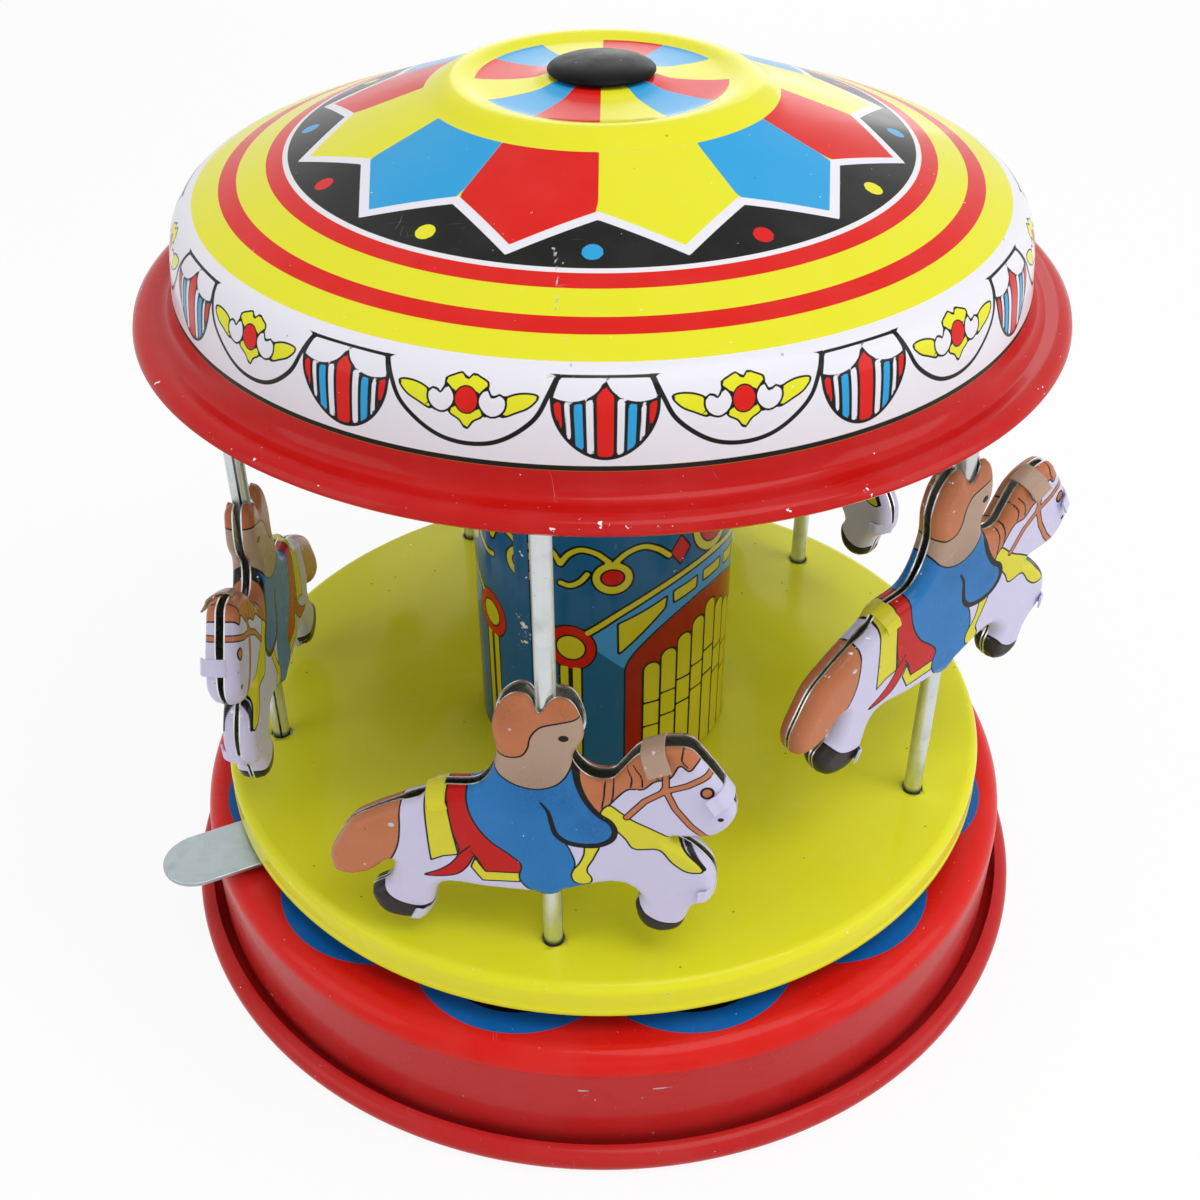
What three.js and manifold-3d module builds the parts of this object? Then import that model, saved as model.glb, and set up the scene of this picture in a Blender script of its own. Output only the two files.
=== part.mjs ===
// Tin toy carousel: five horses and riders on fixed poles, turned by a finger lever at the base.
// All lengths are in millimetres and all angles in degrees. +Z is up and the front of the toy is -Y.
import * as THREE from 'three';
import { mergeVertices } from 'three/addons/utils/BufferGeometryUtils.js';
import Module from 'manifold-3d';

const wasm = await Module();
wasm.setup();

// Clearances
const restGap = 0.3;
const runGap = 0.1;
const slideGap = 0.2;
const fixedGap = 0.15;

// Sheet metal
const sheet = 0.4;
const hemRadius = 1.6;

// Base pan
const baseTopHeight = 24.6;
const baseWallRadius = 79.1;
const baseShoulderRadius = 4;
const rimBeadRadius = 2.5;
const rimCurlStart = 180;
const rimCurlEnd = 450;
const bottomPlateThickness = 0.6;

// Spindle and its bearings
const spindleRadius = 2;
const bushBarrelRadius = 3.6;
const bushFlangeRadius = 5.4;
const bushFlangeThickness = 0.6;
const bushDepth = 7;
const footRadius = 7;
const footHeight = 5;
const footFloor = 1.2;

// Drive pinion, click and ratchet wheel
const gearModule = 1;
const pinionTeeth = 12;
const sectorTeethInFullCircle = 72;
const sectorTeeth = 10;
const sectorTeethBefore = 2;
const pressureAngle = 25;
const toothTop = 0.8;
const toothRoot = 1.15;
const toothSideGap = 0.12;
const flankSteps = 3;
const pinionHeight = 2.4;
const carrierRadius = 9;
const carrierThickness = 0.6;
const ratchetRadius = 5;
const ratchetToothDepth = 0.9;
const ratchetTeeth = 12;
const ratchetThickness = 1.2;
const clickLength = 5;
const clickWidth = 1.1;
const clickThickness = 0.8;
const clickDirection = 60;

// Finger lever
const leverDirection = -154;
const leverWidth = 12.5;
const leverThickness = 1;
const leverTipRadius = 89.1;
const leverBossRadius = 7;
const studRadius = 2;
const studHeadRadius = 3.6;
const studHeadThickness = 0.6;
const studShoulder = 1;
const stopRadius = 1.5;
const stopHeight = 3.1;
const stopDistance = 14;
const fanMargin = 3;
const fanInnerRadius = 5;
const fanSteps = 16;

// Return spring between an ear of the lever and a post on the base
const earAngle = 221.5;
const earDistance = 26;
const earRadius = 2.4;
const earPinRadius = 1;
const earPinHeight = 3.2;
const springPostRadius = 1.2;
const springPostHeight = 5.7;
const springPostDistance = 14;
const springCoilRadius = 1.2;
const springWireRadius = 0.25;
const springTurns = 7;
const springStepsPerTurn = 7;
const springWireSides = 5;
const springRise = 2;

// Platform
const platformRise = 11.3;
const platformRadius = 73.3;
const platformSkirtHeight = 6.8;
const hubRadius = 9;
const hubBarrelRadius = 4.2;
const hubFlangeThickness = 0.8;

// Column
const columnRadius = 23.7;

// Canopy, given as radius and height pairs down its outer face
const canopyRadius = 74.8;
const canopyHeight = 34.9;
const canopyTopHeight = 159;
const canopyHoleRadius = 2.6;
const canopyRadiusShares = [
  0.127, 0.259, 0.303, 0.329, 0.352, 0.381, 0.841, 0.866, 0.885, 0.897, 0.906, 0.916, 0.928, 0.94, 0.948,
  0.979, 0.993, 1, 0.993, 0.98, 0.967,
];
const canopyDropShares = [
  0, 0.021, 0.034, 0.054, 0.082, 0.105, 0.464, 0.494, 0.544, 0.625, 0.822, 0.903, 0.928, 0.937, 0.923,
  0.926, 0.943, 0.971, 0.993, 1, 0.994,
];
// Points of the outer face that the simpler inner face follows, by their index
const canopyInnerIndices = [0, 2, 3, 5, 6, 7, 9, 11, 13, 14, 16, 18, 21];
const ceilingDrop = 25.4;
const ceilingOuterRadius = 66.3;

// Cap nut
const capRadius = 8.25;
const capHeight = 2;
const capCover = 0.9;
const capSteps = 4;

// Poles and sleeves
const horseCount = 5;
const firstPoleDirection = -97.6;
const poleCircleRadius = 63.2;
const poleRadius = 1.6;
const poleSheet = 0.45;
const poleSeamAngle = 16;
const poleSteps = 9;
const poleSeamTurn = 90;
const poleHoleGap = 0.35;
const poleCollarRadius = 2.6;
const poleCollarThickness = 0.5;
const sleeveWall = 0.5;
const sleeveLength = 9;
const sleeveBottomShare = 0.42;

// Horses and riders, as two half pressings each
const figureHeight = 50.6;
const rideHeights = [3.7, 20.2, 9.7, 13, 3.7];
const swivels = [0, -25, 168.6, 0, -11.5];
const halfDepth = 3.1;
const pressedEdgeShare = 0.03;
const hollowInsetShare = 0.01;
const hollowStart = 0.1;
const hollowDrawInShare = 0.024;
const pressedSheet = 0.4;
const seamGap = 0.3;
const poleSlotRadius = 2.05;
const tabLength = 3.2;
const tabThickness = 0.4;
const tabReach = 1.5;
const tabRoot = 0.5;
const figureShares = [
  [-0.628, 0.405], [-0.67, 0.34], [-0.709, 0.239], [-0.698, 0.194], [-0.652, 0.18], [-0.593, 0.194],
  [-0.504, 0.262], [-0.526, 0.162], [-0.587, 0.107], [-0.581, 0.065], [-0.551, 0.02], [-0.494, 0],
  [-0.445, 0.004], [-0.409, 0.028], [-0.34, 0.182], [-0.204, 0.182], [-0.016, 0.184], [0.263, 0.241],
  [0.287, 0.204], [0.269, 0.154], [0.302, 0.069], [0.35, 0.053], [0.405, 0.071], [0.457, 0.188],
  [0.506, 0.235], [0.514, 0.342], [0.439, 0.44], [0.378, 0.478], [0.439, 0.489], [0.5, 0.5],
  [0.542, 0.536], [0.567, 0.613], [0.549, 0.656], [0.458, 0.798], [0.427, 0.836], [0.348, 0.836],
  [0.277, 0.802], [0.221, 0.727], [0.196, 0.694], [0.138, 0.692], [0.079, 0.759], [0.113, 0.854],
  [0.107, 0.913], [0.067, 0.986], [0.032, 0.996], [-0.008, 0.955], [-0.047, 0.998], [-0.077, 1],
  [-0.123, 0.957], [-0.156, 0.875], [-0.148, 0.761], [-0.208, 0.623], [-0.366, 0.577], [-0.381, 0.555],
  [-0.46, 0.512], [-0.555, 0.458],
];
// Edges of the outline that carry a tab, by their index: saddle, mane, nose, knee and hind leg
const tabEdgeIndices = [51, 35, 32, 24, 13];

// Roundness
const largeSegments = 56;
const smallSegments = 20;
const sleeveSegments = 12;
const beadSteps = 6;
const curlSteps = 4;
const cornerSteps = 3;

// Heights of the pieces stacked on the spindle, from the base top up
const bushFlangeTop = baseTopHeight + restGap + bushFlangeThickness;
const pinionBottom = bushFlangeTop + restGap;
const pinionTop = pinionBottom + pinionHeight;
const carrierTop = pinionTop + carrierThickness;
const ratchetBottom = carrierTop + restGap;
const ratchetTop = ratchetBottom + ratchetThickness;
const hubBottom = ratchetTop + restGap;
const platformTopHeight = baseTopHeight + platformRise;
const platformUnderside = platformTopHeight - sheet;
const hubTop = platformUnderside - restGap;
const leverBottom = baseTopHeight + restGap + studShoulder + restGap;
const leverTop = leverBottom + leverThickness;
const springHeight = leverTop + springRise;
const footBottom = bottomPlateThickness + restGap;
const footTop = footBottom + footHeight;
const spindleBottom = footBottom + footFloor + restGap;
const ceilingHeight = canopyTopHeight - ceilingDrop;
const capBottom = canopyTopHeight + restGap;
const capTop = capBottom + capHeight;
const spindleTop = capTop - capCover - restGap;

// Gear sizes that follow from the tooth counts
const pinionPitchRadius = gearModule * pinionTeeth / 2;
const sectorPitchRadius = gearModule * sectorTeethInFullCircle / 2;
const pivotDistance = pinionPitchRadius + sectorPitchRadius;
const sectorToothAngle = 360 / sectorTeethInFullCircle;
const pinionToothAngle = 360 / pinionTeeth;

const radians = THREE.MathUtils.degToRad;

// A point at a distance and direction from a centre
function polar(distance, direction, centre = [0, 0]) {
  const angle = radians(direction);
  return [centre[0] + distance * Math.cos(angle), centre[1] + distance * Math.sin(angle)];
}

// Points along an arc, both ends included
function arc(centre, radius, from, to, steps) {
  const points = [];
  for (let step = 0; step <= steps; step += 1) {
    points.push(polar(radius, from + (to - from) * step / steps, centre));
  }
  return points;
}

// A closed or axis-to-axis profile of radius and height pairs, revolved about Z
function revolve(profile, segments) {
  const points = profile.map(([radius, height]) => new THREE.Vector2(radius, height));
  const first = points[0];
  const last = points[points.length - 1];
  if (first.x > 0 || last.x > 0) {
    points.push(first.clone());
  }
  const geometry = new THREE.LatheGeometry(points, segments);
  geometry.rotateX(Math.PI / 2);
  return geometry;
}

// A flat outline given thickness upward from a height
function plate(outline, bottom, thickness, holes = []) {
  const shape = new THREE.Shape(outline.map(([x, y]) => new THREE.Vector2(x, y)));
  for (const hole of holes) {
    shape.holes.push(new THREE.Path(hole.map(([x, y]) => new THREE.Vector2(x, y))));
  }
  const geometry = new THREE.ExtrudeGeometry(shape, { depth: thickness, bevelEnabled: false });
  geometry.translate(0, 0, bottom);
  return geometry;
}

// The outline of a circle without its repeated last point
function circle(radius, segments, centre = [0, 0]) {
  const points = arc(centre, radius, 0, 360, segments);
  points.pop();
  return points;
}

// The second face of a sheet whose first face is a line of points, on the line's right-hand side
function offsetLine(line, distance) {
  return line.map((point, index) => {
    const before = line[Math.max(index - 1, 0)];
    const after = line[Math.min(index + 1, line.length - 1)];
    const incoming = unit(before, point);
    const outgoing = unit(point, after);
    const first = incoming ?? outgoing;
    const second = outgoing ?? incoming;
    const normal = [first[1] + second[1], -first[0] - second[0]];
    const scale = 2 * distance / (normal[0] ** 2 + normal[1] ** 2);
    return [point[0] + normal[0] * scale, point[1] + normal[1] * scale];
  });
}

// The direction from one point to another, or null where they are the same
function unit(from, to) {
  const length = Math.hypot(to[0] - from[0], to[1] - from[1]);
  return length > 0 ? [(to[0] - from[0]) / length, (to[1] - from[1]) / length] : null;
}

// A sheet profile: the face given and the offset face, joined into one loop
function sheetProfile(line, thickness) {
  return [...offsetLine(line, thickness), ...[...line].reverse()];
}

// A closed body for cutting and joining
function body(geometry) {
  const plain = geometry.clone();
  plain.deleteAttribute('normal');
  plain.deleteAttribute('uv');
  const merged = mergeVertices(plain);
  const triangles = [];
  const index = merged.index.array;
  for (let start = 0; start < index.length; start += 3) {
    const [a, b, c] = [index[start], index[start + 1], index[start + 2]];
    if (a !== b && b !== c && c !== a) {
      triangles.push(a, b, c);
    }
  }
  return new wasm.Manifold(new wasm.Mesh({
    numProp: 3,
    vertProperties: merged.attributes.position.array,
    triVerts: new Uint32Array(triangles),
  }));
}

// The surface of a cut or joined body
function surface(solidBody) {
  const mesh = solidBody.getMesh();
  const geometry = new THREE.BufferGeometry();
  geometry.setAttribute('position', new THREE.BufferAttribute(new Float32Array(mesh.vertProperties), 3));
  geometry.setIndex(new THREE.BufferAttribute(new Uint32Array(mesh.triVerts), 1));
  const flat = geometry.toNonIndexed();
  flat.computeVertexNormals();
  return flat;
}

function material(color, roughness, metalness) {
  return new THREE.MeshStandardMaterial({ color, roughness, metalness });
}

function redPaint() {
  return material(0xc81e1e, 0.3, 0.1);
}

function yellowPaint() {
  return material(0xe5e52d, 0.3, 0.1);
}

function printedBlue() {
  return material(0x276096, 0.35, 0.1);
}

function printedHorse() {
  return material(0xd7d4e1, 0.35, 0.1);
}

function galvanised() {
  return material(0xacb4b4, 0.45, 0.9);
}

function springSteel() {
  return material(0x8c9296, 0.35, 0.9);
}

function brass() {
  return material(0xb89a55, 0.35, 0.9);
}

function blackPlastic() {
  return material(0x161616, 0.25, 0);
}

function plainTin() {
  return material(0xa8a8a2, 0.4, 0.8);
}

function piece(name, geometry, finish) {
  const mesh = new THREE.Mesh(geometry, finish);
  mesh.name = name;
  return mesh;
}

// Base: the pan's wall runs down from a rounded shoulder and curls outward into the rim
function baseShell() {
  const wallInside = baseWallRadius - sheet;
  const beadCentre = [wallInside + rimBeadRadius, rimBeadRadius];
  const shoulderCentre = [baseWallRadius - baseShoulderRadius, baseTopHeight - baseShoulderRadius];
  const holeRadius = bushBarrelRadius + restGap;
  const outside = [
    [holeRadius, baseTopHeight],
    ...arc(shoulderCentre, baseShoulderRadius, 90, 0, cornerSteps),
    ...arc(beadCentre, rimBeadRadius - sheet, rimCurlStart, rimCurlEnd, curlSteps),
  ];
  const inside = [
    ...arc(beadCentre, rimBeadRadius, rimCurlEnd, rimCurlStart, beadSteps),
    ...arc(shoulderCentre, baseShoulderRadius - sheet, 0, 90, cornerSteps),
    [holeRadius, baseTopHeight - sheet],
  ];
  return piece('base_shell', revolve([...outside, ...inside].reverse(), largeSegments), redPaint());
}

function baseBottomPlate() {
  const radius = baseWallRadius - sheet - restGap;
  const profile = [[0, 0], [radius, 0], [radius, bottomPlateThickness], [0, bottomPlateThickness]];
  return piece('base_bottom_plate', revolve(profile, largeSegments), plainTin());
}

function spindleBush() {
  const bore = spindleRadius + runGap;
  const flangeBottom = baseTopHeight + restGap;
  const profile = [
    [bore, baseTopHeight - bushDepth],
    [bushBarrelRadius, baseTopHeight - bushDepth],
    [bushBarrelRadius, flangeBottom],
    [bushFlangeRadius, flangeBottom],
    [bushFlangeRadius, bushFlangeTop],
    [bore, bushFlangeTop],
  ];
  return piece('spindle_bush', revolve(profile, smallSegments), brass());
}

function footBearing() {
  const bore = spindleRadius + runGap;
  const profile = [
    [0, footBottom],
    [footRadius, footBottom],
    [footRadius, footBottom + footFloor],
    [bushBarrelRadius, footTop],
    [bore, footTop],
    [bore, footBottom + footFloor],
    [0, footBottom + footFloor],
  ];
  return piece('foot_bearing', revolve(profile, smallSegments), brass());
}

// One side of a gear tooth: half widths as angles, from the root to the tip
function toothFlank(teeth) {
  const pitchRadius = gearModule * teeth / 2;
  const baseRadius = pitchRadius * Math.cos(radians(pressureAngle));
  const rootRadius = pitchRadius - toothRoot;
  const tipRadius = pitchRadius + toothTop;
  const involute = (angle) => Math.tan(angle) - angle;
  const halfTooth = Math.PI / (2 * teeth) - toothSideGap / pitchRadius + involute(radians(pressureAngle));
  const points = [];
  for (let step = 0; step <= flankSteps; step += 1) {
    const radius = rootRadius + (tipRadius - rootRadius) * step / flankSteps;
    const roll = Math.acos(Math.min(baseRadius / radius, 1));
    points.push([radius, THREE.MathUtils.radToDeg(halfTooth - involute(roll))]);
  }
  return points;
}

// The outline of neighbouring teeth, the first one centred on a direction
function toothOutline(teeth, count, firstDirection) {
  const flank = toothFlank(teeth);
  const outline = [];
  for (let tooth = 0; tooth < count; tooth += 1) {
    const centre = firstDirection + tooth * 360 / teeth;
    for (const [radius, halfAngle] of flank) {
      outline.push(polar(radius, centre - halfAngle));
    }
    for (const [radius, halfAngle] of [...flank].reverse()) {
      outline.push(polar(radius, centre + halfAngle));
    }
  }
  return outline;
}

// Pinion: its teeth straddle the line to the lever's pivot, and the click's carrier is one with it
function drivePinion() {
  const bore = spindleRadius + runGap;
  const firstTooth = leverDirection + pinionToothAngle / 2;
  const outline = toothOutline(pinionTeeth, pinionTeeth, firstTooth);
  const teeth = plate(outline, pinionBottom, pinionHeight);
  const carrier = plate(circle(carrierRadius, smallSegments), pinionTop, carrierThickness);
  const hole = plate(circle(bore, smallSegments), pinionBottom - sheet, pinionHeight + carrierThickness + sheet * 2);
  return piece('drive_pinion', surface(body(teeth).add(body(carrier)).subtract(body(hole))), brass());
}

function ratchetWheel() {
  const bore = spindleRadius + fixedGap;
  const outline = [];
  for (let tooth = 0; tooth < ratchetTeeth; tooth += 1) {
    const direction = tooth * 360 / ratchetTeeth;
    outline.push(polar(ratchetRadius - ratchetToothDepth, direction));
    outline.push(polar(ratchetRadius, direction));
  }
  const geometry = plate(outline, ratchetBottom, ratchetThickness, [circle(bore, smallSegments)]);
  return piece('ratchet_wheel', geometry, springSteel());
}

// Click: a short leaf that lies beside the ratchet wheel with its nose just clear of the teeth
function click() {
  const near = ratchetRadius + restGap;
  const outline = [
    [near, -clickWidth / 2],
    [near + clickWidth, -clickWidth / 2],
    [near + clickWidth, clickLength / 2],
    [near + clickWidth / 2, clickLength / 2],
  ];
  const geometry = plate(outline, carrierTop + restGap, clickThickness);
  const mesh = piece('click', geometry, springSteel());
  mesh.rotation.z = radians(clickDirection);
  return mesh;
}

function spindle() {
  const profile = [
    [0, spindleBottom],
    [spindleRadius, spindleBottom],
    [spindleRadius, spindleTop],
    [0, spindleTop],
  ];
  return piece('spindle', revolve(profile, smallSegments), springSteel());
}

// Where the lever turns, seen from above
function pivotPoint() {
  return polar(pivotDistance, leverDirection);
}

// Lever: strip, boss, toothed fan and spring ear cut from one sheet, about its own pivot
function leverArm() {
  const tipCentre = leverTipRadius - pivotDistance - leverWidth / 2;
  const strip = [[0, -leverWidth / 2], ...arc([tipCentre, 0], leverWidth / 2, -90, 90, smallSegments / 2),
    [0, leverWidth / 2]];
  const firstTooth = 180 - sectorTeethBefore * sectorToothAngle;
  const lastTooth = firstTooth + (sectorTeeth - 1) * sectorToothAngle;
  const rootRadius = sectorPitchRadius - toothRoot;
  const fan = [
    ...arc([0, 0], fanInnerRadius, lastTooth + fanMargin, firstTooth - fanMargin, fanSteps),
    polar(rootRadius, firstTooth - fanMargin),
    ...toothOutline(sectorTeethInFullCircle, sectorTeeth, firstTooth),
    polar(rootRadius, lastTooth + fanMargin),
  ];
  const earCentre = polar(earDistance, earAngle);
  const joined = body(plate(strip, leverBottom, leverThickness))
    .add(body(plate(circle(leverBossRadius, smallSegments), leverBottom, leverThickness)))
    .add(body(plate(fan, leverBottom, leverThickness)))
    .add(body(plate(circle(earRadius, smallSegments, earCentre), leverBottom, leverThickness)))
    .add(body(plate(circle(earPinRadius, sleeveSegments, earCentre), leverBottom, leverThickness + earPinHeight)));
  const studHole = plate(circle(studRadius + restGap, smallSegments), leverBottom - sheet, leverThickness + sheet * 2);
  const mesh = piece('finger_lever', surface(joined.subtract(body(studHole))), galvanised());
  const [x, y] = pivotPoint();
  mesh.position.set(x, y, 0);
  mesh.rotation.z = radians(leverDirection);
  return mesh;
}

function leverStud() {
  const bottom = baseTopHeight + restGap;
  const headBottom = leverTop + restGap;
  const profile = [
    [0, bottom],
    [studHeadRadius, bottom],
    [studHeadRadius, bottom + studShoulder],
    [studRadius, bottom + studShoulder],
    [studRadius, headBottom],
    [studHeadRadius, headBottom],
    [studHeadRadius, headBottom + studHeadThickness],
    [0, headBottom + studHeadThickness],
  ];
  const mesh = piece('lever_stud', revolve(profile, smallSegments), springSteel());
  const [x, y] = pivotPoint();
  mesh.position.set(x, y, 0);
  return mesh;
}

function post(name, radius, height, [x, y]) {
  const bottom = baseTopHeight + restGap;
  const profile = [[0, bottom], [radius, bottom], [radius, bottom + height], [0, bottom + height]];
  const mesh = piece(name, revolve(profile, sleeveSegments), springSteel());
  mesh.position.set(x, y, 0);
  return mesh;
}

// The stop stands beside the lever's strip, on the side that the spring pulls it to
function stopPoint() {
  const along = polar(stopDistance, leverDirection, pivotPoint());
  return polar(leverWidth / 2 + restGap + stopRadius, leverDirection + 90, along);
}

function earPoint() {
  return polar(earDistance, leverDirection + earAngle, pivotPoint());
}

function springPostPoint() {
  return polar(springPostDistance, leverDirection + earAngle + 90, earPoint());
}

// A helix with straight ends, as a path
class CoilPath extends THREE.Curve {
  constructor(start, length, radius, turns) {
    super();
    Object.assign(this, { start, length, radius, turns });
  }

  getPoint(share, target = new THREE.Vector3()) {
    const angle = share * this.turns * Math.PI * 2;
    const along = this.start + this.length * share;
    return target.set(along, this.radius * Math.cos(angle), this.radius * Math.sin(angle));
  }
}

// Return spring: runs from its post to the pin on the lever's ear
function returnSpring() {
  const start = springPostRadius + restGap + springWireRadius;
  const end = springPostDistance - earPinRadius - restGap - springWireRadius;
  const wire = new THREE.Shape(circle(springWireRadius, springWireSides).map(([x, y]) => new THREE.Vector2(x, y)));
  const geometry = new THREE.ExtrudeGeometry(wire, {
    extrudePath: new CoilPath(start, end - start, springCoilRadius, springTurns),
    steps: springTurns * springStepsPerTurn,
    bevelEnabled: false,
  });
  const mesh = piece('return_spring', geometry, springSteel());
  const [x, y] = springPostPoint();
  mesh.position.set(x, y, springHeight);
  mesh.rotation.z = radians(leverDirection + earAngle - 90);
  return mesh;
}

// Platform: a shallow pan, open side down, with a hole for each pole and one for the spindle
function platform() {
  const line = [
    [spindleRadius + restGap, platformTopHeight],
    ...arc([platformRadius - hemRadius, platformTopHeight - hemRadius], hemRadius, 90, 0, cornerSteps),
    [platformRadius, platformTopHeight - platformSkirtHeight],
  ];
  let pan = body(revolve(sheetProfile(line, sheet), largeSegments));
  for (let index = 0; index < horseCount; index += 1) {
    pan = pan.subtract(poleHole(index, platformUnderside));
  }
  return piece('platform', surface(pan), yellowPaint());
}

function poleDirection(index) {
  return firstPoleDirection + index * 360 / horseCount;
}

function poleHole(index, bottom) {
  const centre = polar(poleCircleRadius, poleDirection(index));
  return body(plate(circle(poleRadius + poleHoleGap, smallSegments, centre), bottom - sheet, sheet * 3));
}

function platformHub() {
  const bore = spindleRadius + fixedGap;
  const profile = [
    [bore, hubBottom],
    [hubBarrelRadius, hubBottom],
    [hubBarrelRadius, hubTop - hubFlangeThickness],
    [hubRadius, hubTop - hubFlangeThickness],
    [hubRadius, hubTop],
    [bore, hubTop],
  ];
  return piece('platform_hub', revolve(profile, smallSegments), plainTin());
}

// The canopy's outer face, from the centre hole to the end of the curled lip
function canopyLine() {
  const line = canopyRadiusShares.map((share, index) => [
    share * canopyRadius,
    canopyTopHeight - canopyDropShares[index] * canopyHeight,
  ]);
  return [[canopyHoleRadius, canopyTopHeight], ...line];
}

// The height of the canopy's outer face at a radius on its upper slope
function canopyHeightAt(radius) {
  const line = canopyLine();
  const index = line.findIndex(([lineRadius]) => lineRadius >= radius);
  const [fromRadius, fromHeight] = line[index - 1];
  const [toRadius, toHeight] = line[index];
  return fromHeight + (toHeight - fromHeight) * (radius - fromRadius) / (toRadius - fromRadius);
}

function canopy() {
  const line = canopyLine();
  const inner = offsetLine(line, sheet).filter((point, index) => canopyInnerIndices.includes(index));
  const profile = [...inner, ...line.reverse()];
  return piece('canopy', revolve(profile, largeSegments), yellowPaint());
}

// Column: a plain tube that stands on the platform and carries the canopy's raised centre
function column() {
  const bottom = platformTopHeight + restGap;
  const top = canopyHeightAt(columnRadius) - sheet * 1.5 - restGap;
  const profile = [
    [columnRadius - sheet, bottom],
    [columnRadius, bottom],
    [columnRadius, top],
    [columnRadius - sheet, top],
  ];
  return piece('column', revolve(profile, largeSegments), printedBlue());
}

function ceilingRing() {
  const outline = circle(ceilingOuterRadius, largeSegments);
  const opening = circle(columnRadius + restGap, largeSegments);
  let ring = body(plate(outline, ceilingHeight, sheet, [opening]));
  for (let index = 0; index < horseCount; index += 1) {
    ring = ring.subtract(poleHole(index, ceilingHeight));
  }
  return piece('ceiling_ring', surface(ring), plainTin());
}

function capNut() {
  const bore = spindleRadius + fixedGap;
  const boreTop = capTop - capCover;
  const dome = [];
  for (let step = 0; step <= capSteps; step += 1) {
    const angle = radians(90 * step / capSteps);
    dome.push([capRadius * Math.cos(angle), capBottom + capHeight * Math.sin(angle)]);
  }
  dome[capSteps][0] = 0;
  const profile = [[0, boreTop], [bore, boreTop], [bore, capBottom], ...dome];
  return piece('cap_nut', revolve(profile, smallSegments), blackPlastic());
}

// Pole: sheet rolled into a tube with an open seam, its ends spread under the platform and over the ceiling
function pole(index) {
  const lowCollar = platformUnderside - restGap - poleCollarThickness;
  const highCollar = ceilingHeight + sheet + restGap;
  const top = highCollar + poleCollarThickness;
  const from = poleSeamTurn + poleSeamAngle / 2;
  const to = poleSeamTurn + 360 - poleSeamAngle / 2;
  const outline = [
    ...arc([0, 0], poleRadius, from, to, poleSteps),
    ...arc([0, 0], poleRadius - poleSheet, to, from, poleSteps),
  ];
  const tube = body(plate(outline, lowCollar, top - lowCollar));
  const collarHole = [circle(poleRadius - poleSheet / 2, sleeveSegments)];
  const collarOutline = circle(poleCollarRadius, sleeveSegments);
  const lower = body(plate(collarOutline, lowCollar, poleCollarThickness, collarHole));
  const upper = body(plate(collarOutline, highCollar, poleCollarThickness, collarHole));
  return piece(`pole_${index + 1}`, surface(tube.add(lower).add(upper)), galvanised());
}

function poleSleeve(index) {
  const bore = poleRadius + slideGap;
  const bottom = platformTopHeight + rideHeights[index] + sleeveBottomShare * figureHeight;
  const profile = [
    [bore, bottom],
    [bore + sleeveWall, bottom],
    [bore + sleeveWall, bottom + sleeveLength],
    [bore, bottom + sleeveLength],
  ];
  return piece(`pole_sleeve_${index + 1}`, revolve(profile, sleeveSegments), springSteel());
}

function figureOutline() {
  return figureShares.map(([forward, up]) => [forward * figureHeight, up * figureHeight]);
}

// An outline standing on edge, centred on the plane between the halves: its rim stays at one inset
// for the straight depth, then slopes in toward its flat face
function standing(outline, inset, straightDepth, slopeWidth, slopeDepth) {
  const shape = new THREE.Shape(outline.map(([x, y]) => new THREE.Vector2(x, y)));
  const geometry = new THREE.ExtrudeGeometry(shape, {
    depth: 2 * straightDepth,
    bevelThickness: slopeDepth,
    bevelSize: slopeWidth,
    bevelOffset: -slopeWidth - inset,
    bevelSegments: 1,
  });
  geometry.translate(0, 0, -straightDepth);
  geometry.rotateX(Math.PI / 2);
  return body(geometry);
}

// A block that covers one side of the plane between the halves
function sideBlock(side) {
  const reach = 2 * figureHeight;
  const block = new THREE.BoxGeometry(reach, figureHeight, reach);
  block.translate(0, side * (figureHeight / 2 + seamGap / 2), figureHeight / 2);
  return body(block);
}

function poleSlot() {
  const slot = plate(circle(poleSlotRadius, sleeveSegments), -figureHeight, figureHeight * 3);
  return body(slot);
}

function pressing(side) {
  const outline = figureOutline();
  const pressedEdge = figureHeight * pressedEdgeShare;
  const hollowInset = figureHeight * hollowInsetShare;
  const hollowDrawIn = figureHeight * hollowDrawInShare;
  const hollowSlope = halfDepth - pressedSheet - hollowStart;
  const skin = standing(outline, 0, halfDepth - pressedEdge, pressedEdge, pressedEdge);
  const hollow = standing(outline, hollowInset, hollowStart, hollowDrawIn, hollowSlope);
  return skin.subtract(hollow).intersect(sideBlock(side)).subtract(poleSlot());
}

// A folded tab: rooted in the left half's edge, it passes over the right half's edge with a gap
function foldedTab(edgeIndex) {
  const outline = figureOutline();
  const [fromX, fromZ] = outline[edgeIndex];
  const [toX, toZ] = outline[(edgeIndex + 1) % outline.length];
  const tilt = Math.atan2(toZ - fromZ, toX - fromX);
  const over = new THREE.BoxGeometry(tabLength, tabReach * 2, tabThickness);
  over.translate(0, 0, -restGap - tabThickness / 2);
  const root = new THREE.BoxGeometry(tabLength, tabReach - seamGap / 2, tabRoot + restGap + tabThickness / 2);
  root.translate(0, tabReach / 2 + seamGap / 4, tabRoot / 2 - restGap / 2 - tabThickness / 4);
  const tab = [over, root].map((geometry) => {
    geometry.rotateY(-tilt);
    geometry.translate((fromX + toX) / 2, 0, (fromZ + toZ) / 2);
    return body(geometry);
  });
  return tab[0].add(tab[1]);
}

function rightHalf(index) {
  return piece(`horse_right_half_${index + 1}`, surface(pressing(-1)), printedHorse());
}

function leftHalf(index) {
  let half = pressing(1);
  for (const edgeIndex of tabEdgeIndices) {
    half = half.add(foldedTab(edgeIndex));
  }
  return piece(`horse_left_half_${index + 1}`, surface(half), printedHorse());
}

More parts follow.
